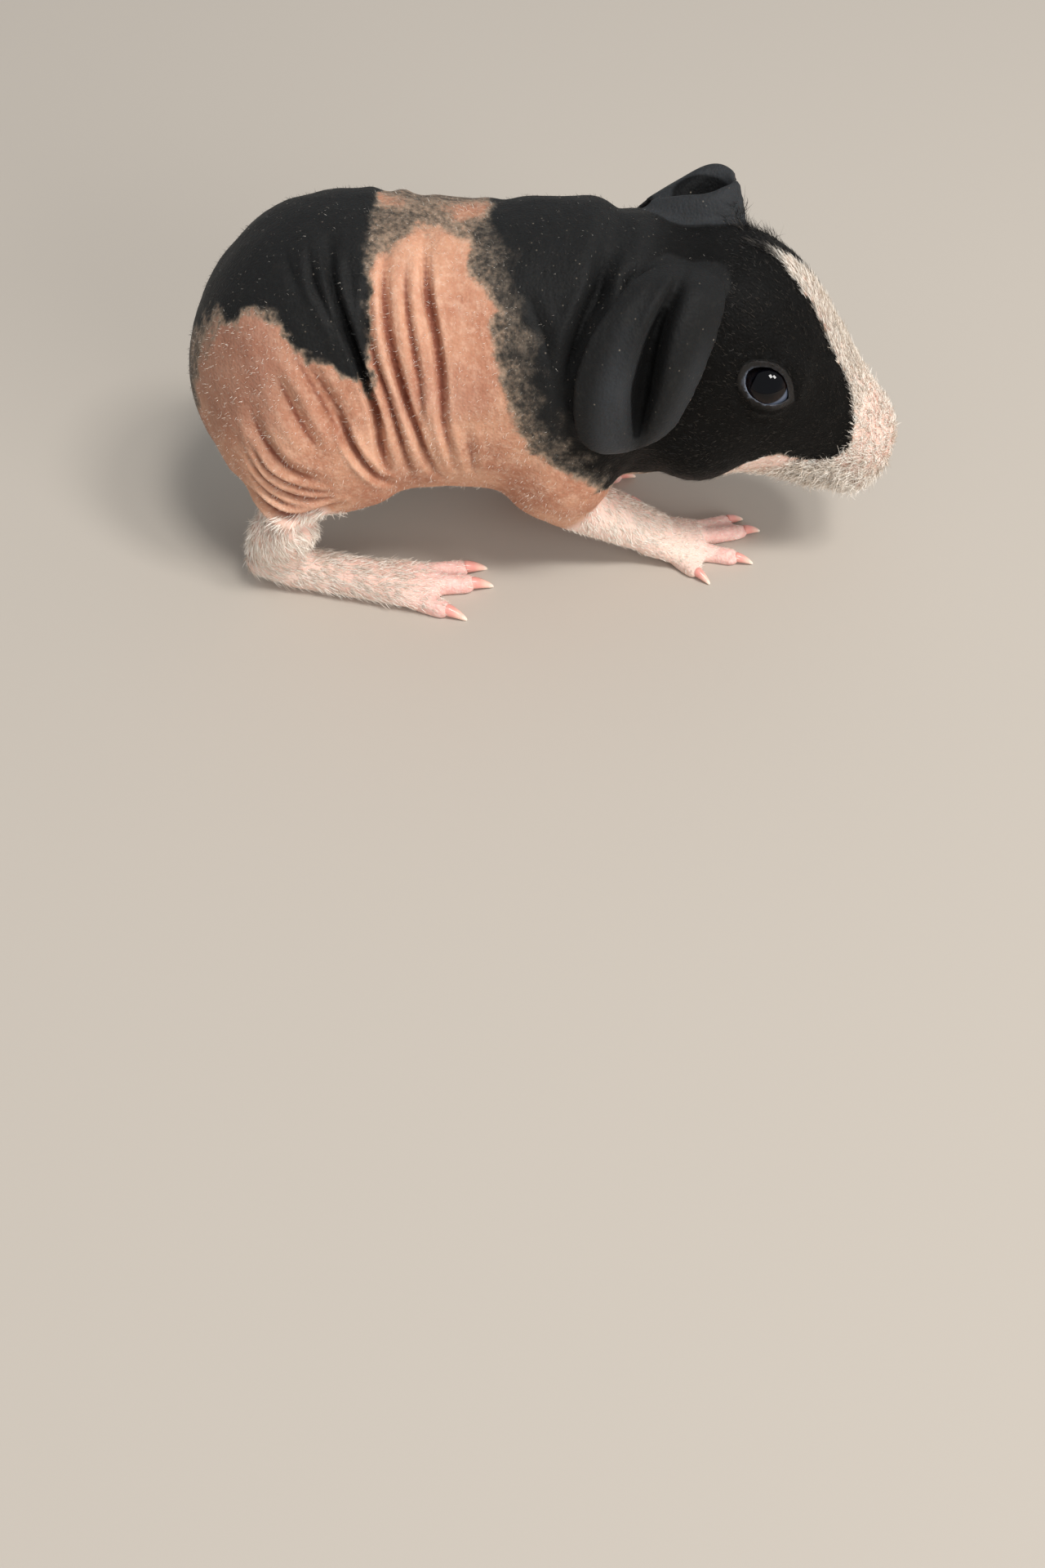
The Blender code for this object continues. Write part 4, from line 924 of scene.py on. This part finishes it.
def mixed(factor, first, second):
    """From the first colour to the second. Each is a socket, or three numbers up to 255."""
    first, second = (colour if isinstance(colour, SOCKET) else linear(colour) for colour in (first, second))
    return add(factor, "ShaderNodeMix", {0: factor, 6: first, 7: second}, data_type="RGBA").outputs[2]


def tinted(base, mask, share, colour):
    """The base with a share of another colour where the mask is 1."""
    return mixed(times(mask, share), base, colour)


def rise(value, low, high):
    """0 below low, 1 above high, and smooth between."""
    inputs = {0: value, 1: low, 2: high, 3: 0.0, 4: 1.0}
    return add(value, "ShaderNodeMapRange", inputs, interpolation_type="SMOOTHSTEP").outputs[0]


def speckles(place, scale, detail=2.0, rough=0.5):
    inputs = {"Vector": place, "Scale": scale, "Detail": detail, "Roughness": rough}
    return add(place, "ShaderNodeTexNoise", inputs).outputs["Fac"]


def cell_distance(place, scale):
    inputs = {"Vector": place, "Scale": scale, "Randomness": 1.0}
    return add(place, "ShaderNodeTexVoronoi", inputs).outputs["Distance"]


def attribute(tree, name):
    return add(tree, "ShaderNodeAttribute", attribute_name=name).outputs["Fac"]


def object_place(tree):
    return add(tree, "ShaderNodeTexCoord").outputs["Object"]


def use_group(tree, group, inputs):
    """The first output of a group."""
    return add(tree, "ShaderNodeGroup", inputs, node_tree=group).outputs[0]


def new_group(name, inputs, outputs):
    """A node group with named sockets, what its input node gives, and its output node."""
    group = bpy.data.node_groups.new(name, "ShaderNodeTree")
    for way, sockets in (("INPUT", inputs), ("OUTPUT", outputs)):
        for title, kind in sockets.items():
            group.interface.new_socket(title, in_out=way, socket_type=kind)
    return group, group.nodes.new("NodeGroupInput").outputs, group.nodes.new("NodeGroupOutput")


def new_material(name):
    material = bpy.data.materials.new(name)
    material.use_nodes = True
    return material, material.node_tree, material.node_tree.nodes["Principled BSDF"]

# %% The broken edge of a patch
broken_edge, given, made = new_group(
    "Broken edge", {"Place": VECTOR, "Mask": VALUE, "Patch": VALUE, "Speck": VALUE}, {"Mask": VALUE})
place, mask = given["Place"], given["Mask"]
patches = times(less(speckles(place, 330.0, 3.0, 0.6), 0.5), given["Patch"])
specks = times(less(speckles(place, 1500.0, 2.0, 0.6), 0.5), given["Speck"])
room = times(times(mask, less(1.0, mask)), 4.0)
noisy = plus(mask, times(plus(patches, specks), room))
set_inputs(made, {"Mask": rise(noisy, 0.08, 0.92)})

# %% The grain of the skin
skin_grain, given, made = new_group("Skin grain", {"Place": VECTOR}, {"Height": VALUE})
place = given["Place"]
pores = rise(cell_distance(place, 2100.0), 0.15, 0.75)
wave = speckles(place, 620.0, 5.0, 0.62)
squeezed = add(place, "ShaderNodeMapping", {"Vector": place, "Scale": (2.6, 0.8, 0.8)}).outputs[0]
lines = speckles(squeezed, 520.0, 3.0, 0.55)
height = plus(plus(times(pores, 0.30), times(wave, 0.55)), times(lines, 0.75))
set_inputs(made, {"Height": height})
print("node groups:", [group.name for group in bpy.data.node_groups])

# %% [markdown]
# ## The skin's finish
# Bare skin is a warm flesh colour with fine pores. Its creases are painted darker and redder, and the rear of
# the
# haunch greyer, as painted shade, and the ridges of its folds paler, as painted light. Black skin is not pure
# black:
# it is slate on the ears, lighter in the middle of the right ear's lobes as painted light, neutral on the
# rump, a little brown on the face and deep on the neck behind the ears as painted shade, and it has a soft
# velvet sheen from hairs too small to see. Light enters thin pink skin, so a little subsurface scattering
# softens it.

# %% The colour of the skin
SKIN_MASKS = ("Pigment", "Pale", "Pink", "Tan", "Tone", "Crease", "Ridge", "Dusk")
skin_colour, given, made = new_group(
    "Skin colour", {"Place": VECTOR, **dict.fromkeys(SKIN_MASKS, VALUE)}, {"Color": COLOUR})
place, tone_in = given["Place"], given["Tone"]
slow, fine = speckles(place, 95.0, 3.0, 0.55), speckles(place, 900.0, 3.0, 0.65)
veins = rise(speckles(place, 42.0, 2.0, 0.5), 0.50, 0.72)
# The creases are painted darker in each colour below, as painted shade.
deep = rise(given["Crease"], 0.05, 0.95)
pale_skin = mixed(rise(slow, 0.35, 0.65), (230, 194, 180), (240, 212, 198))
pink_skin = mixed(rise(fine, 0.35, 0.7), (234, 176, 168), (246, 206, 198))
flesh = mixed(rise(slow, 0.34, 0.68), (174, 120, 95), (200, 150, 122))
# Among these tints, the haunch's grey and the dark red of the creases are painted shade, and the paler ridges
# painted light.
for mask, share, tint in (
        (rise(fine, 0.40, 0.75), 0.35, (232, 196, 172)), (veins, 0.4, (170, 120, 104)),
        (given["Dusk"], 0.62, (140, 100, 84)), (given["Pale"], 1.0, pale_skin),
        (given["Pink"], 0.75, pink_skin), (given["Tan"], 0.75, (202, 140, 90)),
        (given["Ridge"], 0.35, (244, 205, 178)), (deep, 0.82, (112, 56, 42))):
    flesh = tinted(flesh, mask, share, tint)
grey = tinted(mixed(rise(fine, 0.32, 0.68), (112, 96, 82), (156, 133, 114)), deep, 0.7, (62, 48, 40))
slate = tinted(mixed(rise(fine, 0.34, 0.70), (56, 52, 48), (98, 88, 78)), deep, 0.8, (24, 20, 18))
# A tone of 1 is the deep black of the face and -1 the slate of the ears; it also carries painted light and
# shade.
black = mixed(rise(tone_in, 0.1, 0.9), (29, 29, 29), (9, 8, 7))
black = mixed(rise(times(tone_in, -1.0), 0.1, 0.9), black, (62, 64, 67))
black = tinted(black, rise(fine, 0.45, 0.8), less(0.25, times(tone_in, 0.2)), (50, 48, 45))
# Painted shade in the creases of the black skin.
black = tinted(black, deep, 0.9, (5, 5, 5))
dark = use_group(place, broken_edge, {"Place": place, "Mask": given["Pigment"], "Patch": 0.30, "Speck": 0.36})
colour = flesh
for low, high, darker in ((0.02, 0.42, grey), (0.34, 0.74, slate), (0.66, 1.0, black)):
    colour = mixed(rise(dark, low, high), colour, darker)
# Pale dots, the tips of hairs too small to be modelled.
dots = less(1.0, rise(cell_distance(place, 760.0), 0.03, 0.14))
dots = times(dots, rise(speckles(place, 260.0, 2.0, 0.5), 0.42, 0.62))
set_inputs(made, {"Color": tinted(colour, dots, less(0.18, times(tone_in, 0.16)), (226, 208, 186))})


# %% The skin's material
skin_finish, tree, shader = new_material("skin")
place = object_place(tree)
masks = {title: attribute(tree, title.lower()) for title in SKIN_MASKS}
lid_rim, wet_glint_rim = attribute(tree, "lid"), attribute(tree, "wet")
colour = tinted(use_group(tree, skin_colour, {"Place": place, **masks}), lid_rim, 0.6, (46, 43, 41))
rough = less(0.62, times(masks["Pink"], 0.12))
rough = less(less(rough, times(lid_rim, 0.14)), times(wet_glint_rim, 0.32))
height = use_group(tree, skin_grain, {"Place": place})
bump = add(tree, "ShaderNodeBump", {"Height": height, "Strength": 0.55, "Distance": 0.00022})
# The wet rim of the lids is glossier, and painted a light bluish grey as a painted reflection.
set_inputs(shader, {
    "Base Color": mixed(wet_glint_rim, colour, (104, 110, 122)), "Roughness": rough, "Normal": bump.outputs[0],
    "Specular IOR Level": 0.11, "Sheen Weight": 0.015, "Sheen Roughness": 0.45, "Subsurface Weight": 0.12,
    "Subsurface Radius": (1.0, 0.35, 0.2), "Subsurface Scale": 0.0012})
skin.data.materials.clear()
skin.data.materials.append(skin_finish)
activate(skin)
bpy.ops.object.shade_smooth()
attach(skin, "root")
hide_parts(*FLESH)
print("skin finished:", len(tree.nodes), "nodes in its material")


# %% [markdown]
# ## Eyes
# The eye is a dark, wet ball, a little fuller in front where the cornea is. The iris is so dark that only
# a brown shimmer shows round the wide pupil. It is made from a sphere whose front is drawn out and
# smoothed, and it is set so deep that only its front shows between the lids.

# %% Eyes
eye_finish, tree, shader = new_material("eye")
off_axis = attribute(tree, "off_axis")
streaks = speckles(object_place(tree), 1400.0, 3.0, 0.6)
iris = mixed(rise(streaks, 0.3, 0.75), (7, 5, 6), (28, 18, 15))
iris = mixed(rise(off_axis, 0.45, 0.70), (2, 2, 5), iris)
iris = mixed(rise(off_axis, 0.80, 0.88), iris, (78, 86, 102))
set_inputs(shader, {"Base Color": iris, "Roughness": 0.04, "IOR": 1.34})


def make_eye(side):
    eye = add_ball(EYE_RADIUS, 48, 32)
    edit_all(eye)
    bpy.ops.mesh.select_all(action="DESELECT")
    sheet = bmesh.from_edit_mesh(eye.data)
    for point in sheet.verts:
        point.select_set(point.co.z > 0.70 * EYE_RADIUS * MM)
    sheet.select_flush(True)
    bmesh.update_edit_mesh(eye.data)
    bpy.ops.transform.translate(value=(0, 0, 0.16 * MM))
    bpy.ops.mesh.select_all(action="SELECT")
    bpy.ops.mesh.vertices_smooth(factor=0.5, repeat=3)
    end_edit()
    bpy.ops.object.shade_smooth()
    gaze = np.array((-0.2, -0.2 * side, 0.96))
    outward = unit(read_vectors(eye.data, "vertices", "co"))
    store(eye.data, "off_axis", np.arccos(np.clip(outward @ gaze, -1, 1)))
    eye.data.transform(eye_place(side))
    eye.name = "eyeball_" + SIDES[side]
    eye.data.materials.append(eye_finish)
    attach(eye, "root")
    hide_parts("eye_" + SIDES[side])


for side in SIDES:
    make_eye(side)


# %% [markdown]
# ## Claws
# Each claw is a small horn that grows out of the toe, bends to the floor and ends in a blunt point. It is
# clear horn over pink flesh, so it is pink at the root and pale at the tip. One claw is drawn out of a
# disc in steps, each smaller and lower than the last, and copied to all fourteen toes.

# %% One claw
CLAW_LONG, CLAW_BACK, CLAW_STEPS = 4.4, 1.1, 9


def claw_half(t):
    """Half the claw's thickness, from 0 at its root to 1 at its tip."""
    return 1.2 - 0.92 * t**1.6


bpy.ops.object.select_all(action="DESELECT")
bpy.ops.mesh.primitive_circle_add(vertices=14, radius=claw_half(0) * MM, fill_type="NGON",
                                  location=(-CLAW_BACK * MM, 0, 0), rotation=(0, math.radians(90), 0))
claw_master = active()
claw_master.name = "claw_master"
bpy.ops.object.transform_apply(location=True, rotation=True, scale=True)
edit_all(claw_master)
for k in range(1, CLAW_STEPS + 1):
    t, before = k / CLAW_STEPS, (k - 1) / CLAW_STEPS
    drop = 1.3 * (t**2 - before**2)
    thinner = claw_half(t) / claw_half(before)
    bpy.ops.mesh.extrude_region_move(
        TRANSFORM_OT_translate={"value": (CLAW_LONG / CLAW_STEPS * MM, 0, -drop * MM)})
    bpy.ops.transform.resize(value=(1, thinner, thinner))
bpy.ops.transform.resize(value=(1, 0.6, 0.6))
bpy.ops.mesh.select_all(action="SELECT")
bpy.ops.mesh.normals_make_consistent(inside=False)
end_edit()
apply_modifier(claw_master, "SUBSURF", levels=1, render_levels=1)
bpy.ops.object.shade_smooth()
along = (read_vectors(claw_master.data, "vertices", "co")[:, 0] / MM + CLAW_BACK) / CLAW_LONG
store(claw_master.data, "along", along)
print("claw:", len(claw_master.data.polygons), "faces")

# %% The claws' finish, and a claw on every toe
claw_finish, tree, shader = new_material("claw")
length = attribute(tree, "along")
horn = mixed(rise(length, 0.36, 0.72), (232, 160, 150), (240, 196, 180))
horn = mixed(rise(length, 0.70, 0.98), horn, (247, 228, 212))
horn = tinted(horn, speckles(object_place(tree), 1900.0), 0.25, (214, 164, 140))
set_inputs(shader, {
    "Base Color": horn, "Roughness": 0.26, "Subsurface Weight": 0.25, "Subsurface Radius": (1.0, 0.4, 0.3),
    "Subsurface Scale": 0.0008, "Coat Weight": 0.25})
# Foot and toe, base and tip on the floor, and half its thickness.
TOES = (
    ("hind_outer", (-22.0, -21.2), (-15.6, -23.4), 1.85),
    ("hind_middle", (-20.5, -17.6), (-11.4, -16.6), 1.95),
    ("hind_inner", (-21.0, -14.4), (-12.6, -12.4), 1.7),
    ("fore_first", (27.5, -2.2), (35.0, 1.0), 1.5),
    ("fore_second", (28.0, -4.6), (37.8, -1.8), 1.6),
    ("fore_third", (27.5, -7.6), (35.8, -9.2), 1.7),
    ("fore_fourth", (24.5, -9.6), (28.4, -13.2), 1.6),
)
LEFT_SHIFT = {"hind": (0.0, 2.6), "fore": (-20.5, 3.5)}
for side in SIDES:
    for toe, base, tip, half in TOES:
        base, tip = Vector(base), Vector(tip)
        if side == LEFT:
            base, tip = (Vector((p.x, -p.y)) + Vector(LEFT_SHIFT[toe[:4]]) for p in (base, tip))
        aim = (tip - base).normalized()
        place = Matrix.Translation(to_model((tip.x, tip.y, half * 0.72 + 0.12)))
        turn = Matrix.Rotation(math.atan2(aim.y, aim.x), 4, "Z")
        size = 1.0 if toe.startswith("hind") else 0.8
        name = f"{toe}_{SIDES[side]}"
        claw = new_piece("nail_" + name, claw_master.data.copy())
        claw.data.transform(place @ turn @ Matrix.Scale(size, 4))
        claw.data.materials.append(claw_finish)
        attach(claw, "root")
        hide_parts("claw_" + name)
bpy.data.objects.remove(claw_master)
print("claws:", len(SIDES) * len(TOES))


# %% [markdown]
# ## Hair
# The pup is bare but for curly white hair on its muzzle and chin, a short white coat on the feet, a fine dark
# down on the head, and scattered pale hairs on the body. Hair could be grown by a hair system, but a
# file for others to use needs solid strands, so each hair is a narrow tapering ribbon that starts a
# little under the skin. All are laid out at once with numpy, each one leaning the way the fur lies and
# bending as it goes. A tuft is a few hairs that share a root.

# %% An unwrap of the skin's form
# Each tuft gets a small patch at its root's place on this unwrap, in a map named OFBake.
form = new_piece("form", skin.data.copy())
apply_modifier(form, "DECIMATE", ratio=0.035, use_collapse_triangulate=True)
edit_all(form)
bpy.ops.uv.smart_project(angle_limit=math.radians(66), island_margin=0.004)
end_edit()
form_corners = np.array([tuple(face.vertices) for face in form.data.polygons])
form_uv = np.empty(len(form.data.loops) * 2, np.float32)
form.data.uv_layers.active.data.foreach_get("uv", form_uv)
form_uv = form_uv.reshape(-1, 3, 2)
form_points = places(form.data)
form_tree = surface_tree(form.data)
bpy.data.objects.remove(form)
print("form for the unwrap:", len(form_corners), "faces")


def shares(corners, place):
    """How much of a place lies toward each corner of its triangle."""
    first, second, off = corners[:, 1] - corners[:, 0], corners[:, 2] - corners[:, 0], place - corners[:, 0]
    aa, ab, bb = (first * first).sum(1), (first * second).sum(1), (second * second).sum(1)
    pa, pb = (off * first).sum(1), (off * second).sum(1)
    whole = np.maximum(aa * bb - ab * ab, 1e-12)
    v, w = (bb * pa - ab * pb) / whole, (aa * pb - ab * pa) / whole
    return np.clip(np.stack([1 - v - w, v, w], 1), 0, 1)


def unwrapped(roots):
    face = np.array([form_tree.find_nearest(to_model(root))[2] for root in roots])
    share = shares(form_points[form_corners[face]], roots)
    return (form_uv[face] * share[:, :, None]).sum(1)


# %% Helpers that scatter roots and draw hairs
skin_points = places(skin.data)
skin_normals = read_vectors(skin.data, "vertex_normals", "vector")
corners = np.empty(len(skin.data.polygons) * 3, np.int32)
skin.data.polygons.foreach_get("vertices", corners)
corners = corners.reshape(-1, 3)
areas = np.linalg.norm(np.cross(skin_points[corners[:, 1]] - skin_points[corners[:, 0]],
                                skin_points[corners[:, 2]] - skin_points[corners[:, 0]]), axis=1) / 2
to_head = np.array(HEAD.to_3x3())
# The masks that the hair's finish reads, from the skin under each root.
HAIR_MASKS = {"pigment": pigment, "tan": tan}
ROOT_SINK, LOWEST, PATCH = 0.08, 0.05, 0.003


def scatter(rng, weight, count):
    """Roots spread over the skin by a weight on its points: which triangle, and the share of each corner."""
    chance = areas * weight[corners].mean(1)
    face = rng.choice(len(corners), count, p=chance / chance.sum())
    return face, rng.dirichlet((1, 1, 1), count)


def sampled(values, face, share):
    picked = values[corners[face]]
    return (picked * (share[:, :, None] if picked.ndim == 3 else share)).sum(1)


def fur_lie(roots):
    """Which way the fur lies: back from the nose, back and down on the body, down the legs to the toes."""
    head = inside(HEAD, roots)
    height = roots[:, 2]
    from_nose = unit((head - (46.0, 0, 1.0)) * (1.0, 1.2, 1.2)) @ to_head.T
    lie = np.tile((-1.0, 0.0, -0.45), (len(roots), 1))
    for way, weight in ((np.array((0.5, 0, -1.0)), fall(height, 16, 24)),
                        (np.array((1.0, 0, -0.25)), fall(height, 6, 10)),
                        (from_nose, ramp(head[:, 0], -2, 4) * (height > 18))):
        lie += (way - lie) * weight[:, None]
    return unit(lie)


def turned(vectors, axes, angles):
    """Vectors turned about axes, each by its own angle."""
    c, s = np.cos(angles)[:, None], np.sin(angles)[:, None]
    return vectors * c + np.cross(axes, vectors) * s + axes * (axes * vectors).sum(1)[:, None] * (1 - c)


def ribbons(name, points, steps, tuft_uv):
    """A mesh of ribbons with so many steps, and its map. Points run along each ribbon, two at a time."""
    count, ring = len(points), 2 * (steps + 1)
    quads = np.array([(2 * k, 2 * k + 1, 2 * k + 3, 2 * k + 2) for k in range(steps)])
    faces = (np.arange(count)[:, None, None] * ring + quads[None]).reshape(-1, 4)
    mesh = bpy.data.meshes.new(name)
    mesh.vertices.add(count * ring)
    mesh.vertices.foreach_set("co", ((points.reshape(-1, 3) + SHIFT) * MM).astype(np.float32).ravel())
    mesh.loops.add(faces.size)
    mesh.loops.foreach_set("vertex_index", faces.ravel().astype(np.int32))
    mesh.polygons.add(len(faces))
    mesh.polygons.foreach_set("loop_start", np.arange(0, faces.size, 4, dtype=np.int32))
    mesh.update(calc_edges=True)
    mesh.polygons.foreach_set("use_smooth", np.ones(len(faces), bool))
    patch = np.array([(k % 2 - 0.5, k // 2 / steps - 0.5) for k in range(ring)]) * PATCH
    uv = np.clip(tuft_uv[:, None] + patch[None], 0.001, 0.999).reshape(-1, 2)[faces.ravel()]
    mesh.uv_layers.new(name="OFBake").data.foreach_set("uv", uv.astype(np.float32).ravel())
    print(name + ":", count, "hairs,", len(faces) * 2, "triangles")
    return mesh


def grow(name, material, seed, weight, tufts, hairs, steps, long, thick, stand, curl, loose=0.35):
    """One piece of coat. Lengths and widths are in millimetres, and stand and curl in radians."""
    rng = np.random.default_rng(seed)
    face, share = scatter(rng, weight, tufts)
    face, share = np.repeat(face, hairs), np.repeat(share, hairs, 0)
    count = len(face)
    roots, normals = sampled(skin_points, face, share), unit(sampled(skin_normals, face, share))
    lie = fur_lie(roots) + np.repeat(rng.normal(0, loose, (tufts, 3)), hairs, 0)
    lie += rng.normal(0, loose / 3, (count, 3))
    lie = unit(lie - normals * (lie * normals).sum(1)[:, None])
    side = np.cross(normals, lie)
    offset = rng.normal(0, 0.22, (count, 2)) * (hairs > 1)
    length = (long(roots) if callable(long) else long) * np.clip(rng.normal(1, 0.22, count), 0.45, 1.6)
    lift = np.repeat(rng.normal(stand, 0.35 * stand, tufts), hairs) + rng.normal(0, 0.1, count)
    aim = turned(lie, side, -np.clip(lift, 0.06, 1.35))
    lean = rng.normal(0, 1, (count, 1)) * 0.8
    axis = unit(side + np.repeat(rng.normal(0, 1, (tufts, 1)), hairs, 0) * normals * 0.9 + lean * lie)
    bend = np.repeat(np.abs(rng.normal(curl, curl * 0.45, tufts)), hairs) * rng.normal(1, 0.15, count)
    flat = turned(unit(np.cross(aim, normals)), aim, rng.normal(0, 0.5, count))
    place = roots + lie * offset[:, :1] + side * offset[:, 1:] - normals * ROOT_SINK
    points, along = [], []
    for k in range(steps + 1):
        t = k / steps
        wide = thick * (1 - 0.8 * t**1.5) * 0.5
        points += [place - flat * wide, place + flat * wide]
        along += [t, t]
        place = place + aim * (length / steps)[:, None]
        aim, flat = turned(aim, axis, bend / steps), turned(flat, axis, bend / steps)
    points = np.stack(points, 1)
    points[:, :, 2] += np.maximum(LOWEST - points[:, :, 2].min(1), 0)[:, None]
    mesh = ribbons(name, points, steps, unwrapped(roots[::hairs]).repeat(hairs, 0))
    store(mesh, "along", np.tile(along, count))
    store(mesh, "shade", np.repeat(rng.random(count), len(along)))
    for mask, values in HAIR_MASKS.items():
        store(mesh, mask, np.repeat(sampled(np.asarray(values, float), face, share), len(along)))
    mesh.materials.append(material)
    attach(new_piece(name, mesh), "root")


# %% The hair's finish
# The hair takes its colour from the same masks as the skin under its root.
hair_colour, given, made = new_group(
    "Hair colour", {"Place": VECTOR, **dict.fromkeys(("Pigment", "Tan", "Along", "Shade"), VALUE)},
    {"Color": COLOUR})
white = mixed(given["Shade"], (216, 200, 184), (250, 245, 236))
white = mixed(less(1.0, rise(given["Along"], 0.0, 0.35)), white, (226, 198, 182))
white = tinted(white, given["Tan"], 0.9, (214, 156, 96))
dark_hair = mixed(rise(given["Shade"], 0.55, 1.0), (16, 14, 13), (66, 60, 54))
edge = {"Place": given["Place"], "Mask": given["Pigment"], "Patch": 0.5, "Speck": 0.5}
set_inputs(made, {"Color": mixed(use_group(hair_colour, broken_edge, edge), white, dark_hair)})


def hair_material(name, with_pigment):
    material, tree, shader = new_material(name)
    inputs = {title: attribute(tree, title.lower()) for title in ("Along", "Shade", "Tan", "Pigment")}
    inputs["Pigment"] = times(inputs["Pigment"], with_pigment)
    colour = use_group(tree, hair_colour, {"Place": object_place(tree), **inputs})
    set_inputs(shader, {"Base Color": colour, "Roughness": 0.5, "Specular IOR Level": 0.3})
    return material


coat_finish = hair_material("coat", 1.0)
pale_finish = hair_material("pale hair", 0.55)

# %% Muzzle, chin and blaze
head_at = inside(HEAD, skin_points)
ahead, across, up = head_at.T
bare_nose = ramp(span(head_at, (44.8, 0, 0.4), (2.4, 3.0, 3.2)), 0.8, 1.25)
muzzle = ramp(ahead, 24, 34) * np.clip(face, 0, 1) * (0.12 + 0.88 * bare_nose) * (1 - 0.6 * nostrils)
muzzle = muzzle * (1 + 0.5 * ramp(-up, 0, 4))
chin = face * spot(head_at, (34, 0, -6), (9, 12, 5.5), 0.7, 1.1)
upper_face = face * fall(ahead, 30, 36)


def muzzle_length(roots):
    ahead, _, up = inside(HEAD, roots).T
    return 1.3 + 0.7 * ramp(-up, -3, 3) - 0.5 * fall(ahead, 29, 38) * ramp(up, -2, 3)


grow("hair_muzzle", coat_finish, 11, muzzle, 4900, 4, 5, muzzle_length, 0.12, 0.72, 2.9)
grow("hair_chin", coat_finish, 14, chin, 2600, 4, 5, 2.1, 0.12, 0.8, 3.2)
grow("hair_blaze", coat_finish, 12, upper_face * (up > -1), 4200, 3, 3, 1.4, 0.11, 0.24, 0.3, loose=0.12)
grow("hair_jaw", coat_finish, 13, upper_face * (up < 0), 1500, 3, 4, 1.1, 0.08, 0.45, 1.2)

# %% Feet
height, level = skin_points[:, 2], skin_normals[:, 2]
feet_weight = feet * (1 - 0.85 * toes) * ramp(height, 0.9, 2.2) * (0.3 + 0.7 * ramp(level, -0.8, 0.2))
toe_weight = toes * ramp(level, -0.1, 0.6) * ramp(height, 1.2, 2.2)


def feet_length(roots):
    heel = fall(span(roots, (-45, 0, 6)) - np.abs(roots[:, 1]), 6, 16)
    return 0.95 + 0.75 * heel + 0.25 * ramp(roots[:, 2], 3, 10) - 0.3 * (roots[:, 0] > 22)


grow("hair_feet", coat_finish, 21, feet_weight, 8800, 3, 3, feet_length, 0.11, 0.34, 0.5, loose=0.24)
grow("hair_toes", coat_finish, 22, toe_weight, 1500, 2, 2, 0.7, 0.06, 0.2, 0.2)

# %% Down on the head, and pale hairs over the body
down_weight = on_head * pigment * (1 - lid) * (1 - wet) * (1 - hollow)
brow = spot(skin_points, (32.5, 6.5, 56.0), (5.5, 6.5, 5.0), 0.6, 1.1) * (pigment > 0.5)
body_weight = (1 - on_head) * (1 - feet) * (1 - ears) * (0.35 + np.abs(waves) * 5)
speck_weight = body_weight * (1 - 0.6 * pigment)
grow("down_head", coat_finish, 31, down_weight, 7500, 2, 3, 0.8, 0.055, 0.34, 0.4, loose=0.3)
grow("hair_brow", coat_finish, 32, np.maximum(brow, 0), 260, 2, 4, 2.0, 0.06, 0.75, 1.1)
grow("specks_body", pale_finish, 41, speck_weight, 9000, 1, 2, 0.5, 0.05, 0.22, 0.5, loose=0.8)
grow("down_body", coat_finish, 42, body_weight * (height > 15), 9000, 1, 2, 0.6, 0.05, 0.8, 0.3, loose=0.5)

# %% Whiskers
whisker_weight = np.clip(spot(head_at, (36.5, 0, 1.0), (4.5, 99, 4.5), 0.6, 1), 0, 1)
whisker_weight = whisker_weight * ramp(np.abs(across), 6, 8)
grow("whiskers", pale_finish, 51, whisker_weight, 60, 1, 7, 4.2, 0.09, 0.8, 3.2)


# %% [markdown]
# ## Floor, light and camera
# The model stands on a plain pale floor. Two soft lights side by side stand for a window above, and a
# broader one from the camera's side opens the shadows. The camera looks down from the animal's right, as
# the photograph does, with the animal in the upper half of a tall frame.

# %% Floor and backdrop
bpy.ops.object.select_all(action="DESELECT")
bpy.ops.mesh.primitive_plane_add(size=120.0, location=(0, 0, 0))
floor = active()
floor.name = "floor"
floor_finish, tree, shader = new_material("floor")
set_inputs(shader, {"Base Color": linear((190, 181, 170)), "Roughness": 0.9})
floor.data.materials.append(floor_finish)

# %% Light
world = bpy.data.worlds.new("studio")
world.use_nodes = True
set_inputs(world.node_tree.nodes["Background"], {"Color": (0.94, 0.97, 1.0, 1), "Strength": 0.45})
bpy.context.scene.world = world


def add_light(name, place, look_at, size, power, colour):
    bpy.ops.object.light_add(type="AREA", location=place)
    light = active()
    light.name = name
    light.data.shape = "RECTANGLE"
    light.data.size, light.data.size_y = size
    light.data.energy = power
    light.data.color = colour
    light.rotation_euler = (Vector(look_at) - Vector(place)).to_track_quat("-Z", "Y").to_euler()
    return light


for shift in (-0.2, 0.2):
    add_light("window", (0.55 + shift, -0.42, 1.2), (0, 0, 0.03), (0.22, 0.30), 7.0, (1.0, 0.985, 0.96))
fill = add_light("fill", (0.85, -0.95, 0.42), (0, 0, 0.02), (0.8, 0.6), 9.0, (1.0, 0.99, 0.97))
fill.visible_glossy = False
bpy.context.scene.view_settings.view_transform = "Standard"

# %% Camera
AIM = Vector((-0.08, -1.36, 30.0)) * MM
LOOK_DOWN, DISTANCE = math.radians(38.0), 0.25
TILT, TURN, LENS = math.radians(90 - 53.278), math.radians(1.157), 32.96
bpy.ops.object.camera_add()
camera = active()
camera.name = "camera"
camera.location = AIM + Vector((0, -math.cos(LOOK_DOWN), math.sin(LOOK_DOWN))) * DISTANCE
camera.data.sensor_width = 36.0
camera.data.lens = LENS
camera.rotation_mode = "XYZ"
camera.rotation_euler = (TILT, 0, TURN)
camera.data.clip_start = 0.01
bpy.context.scene.camera = camera
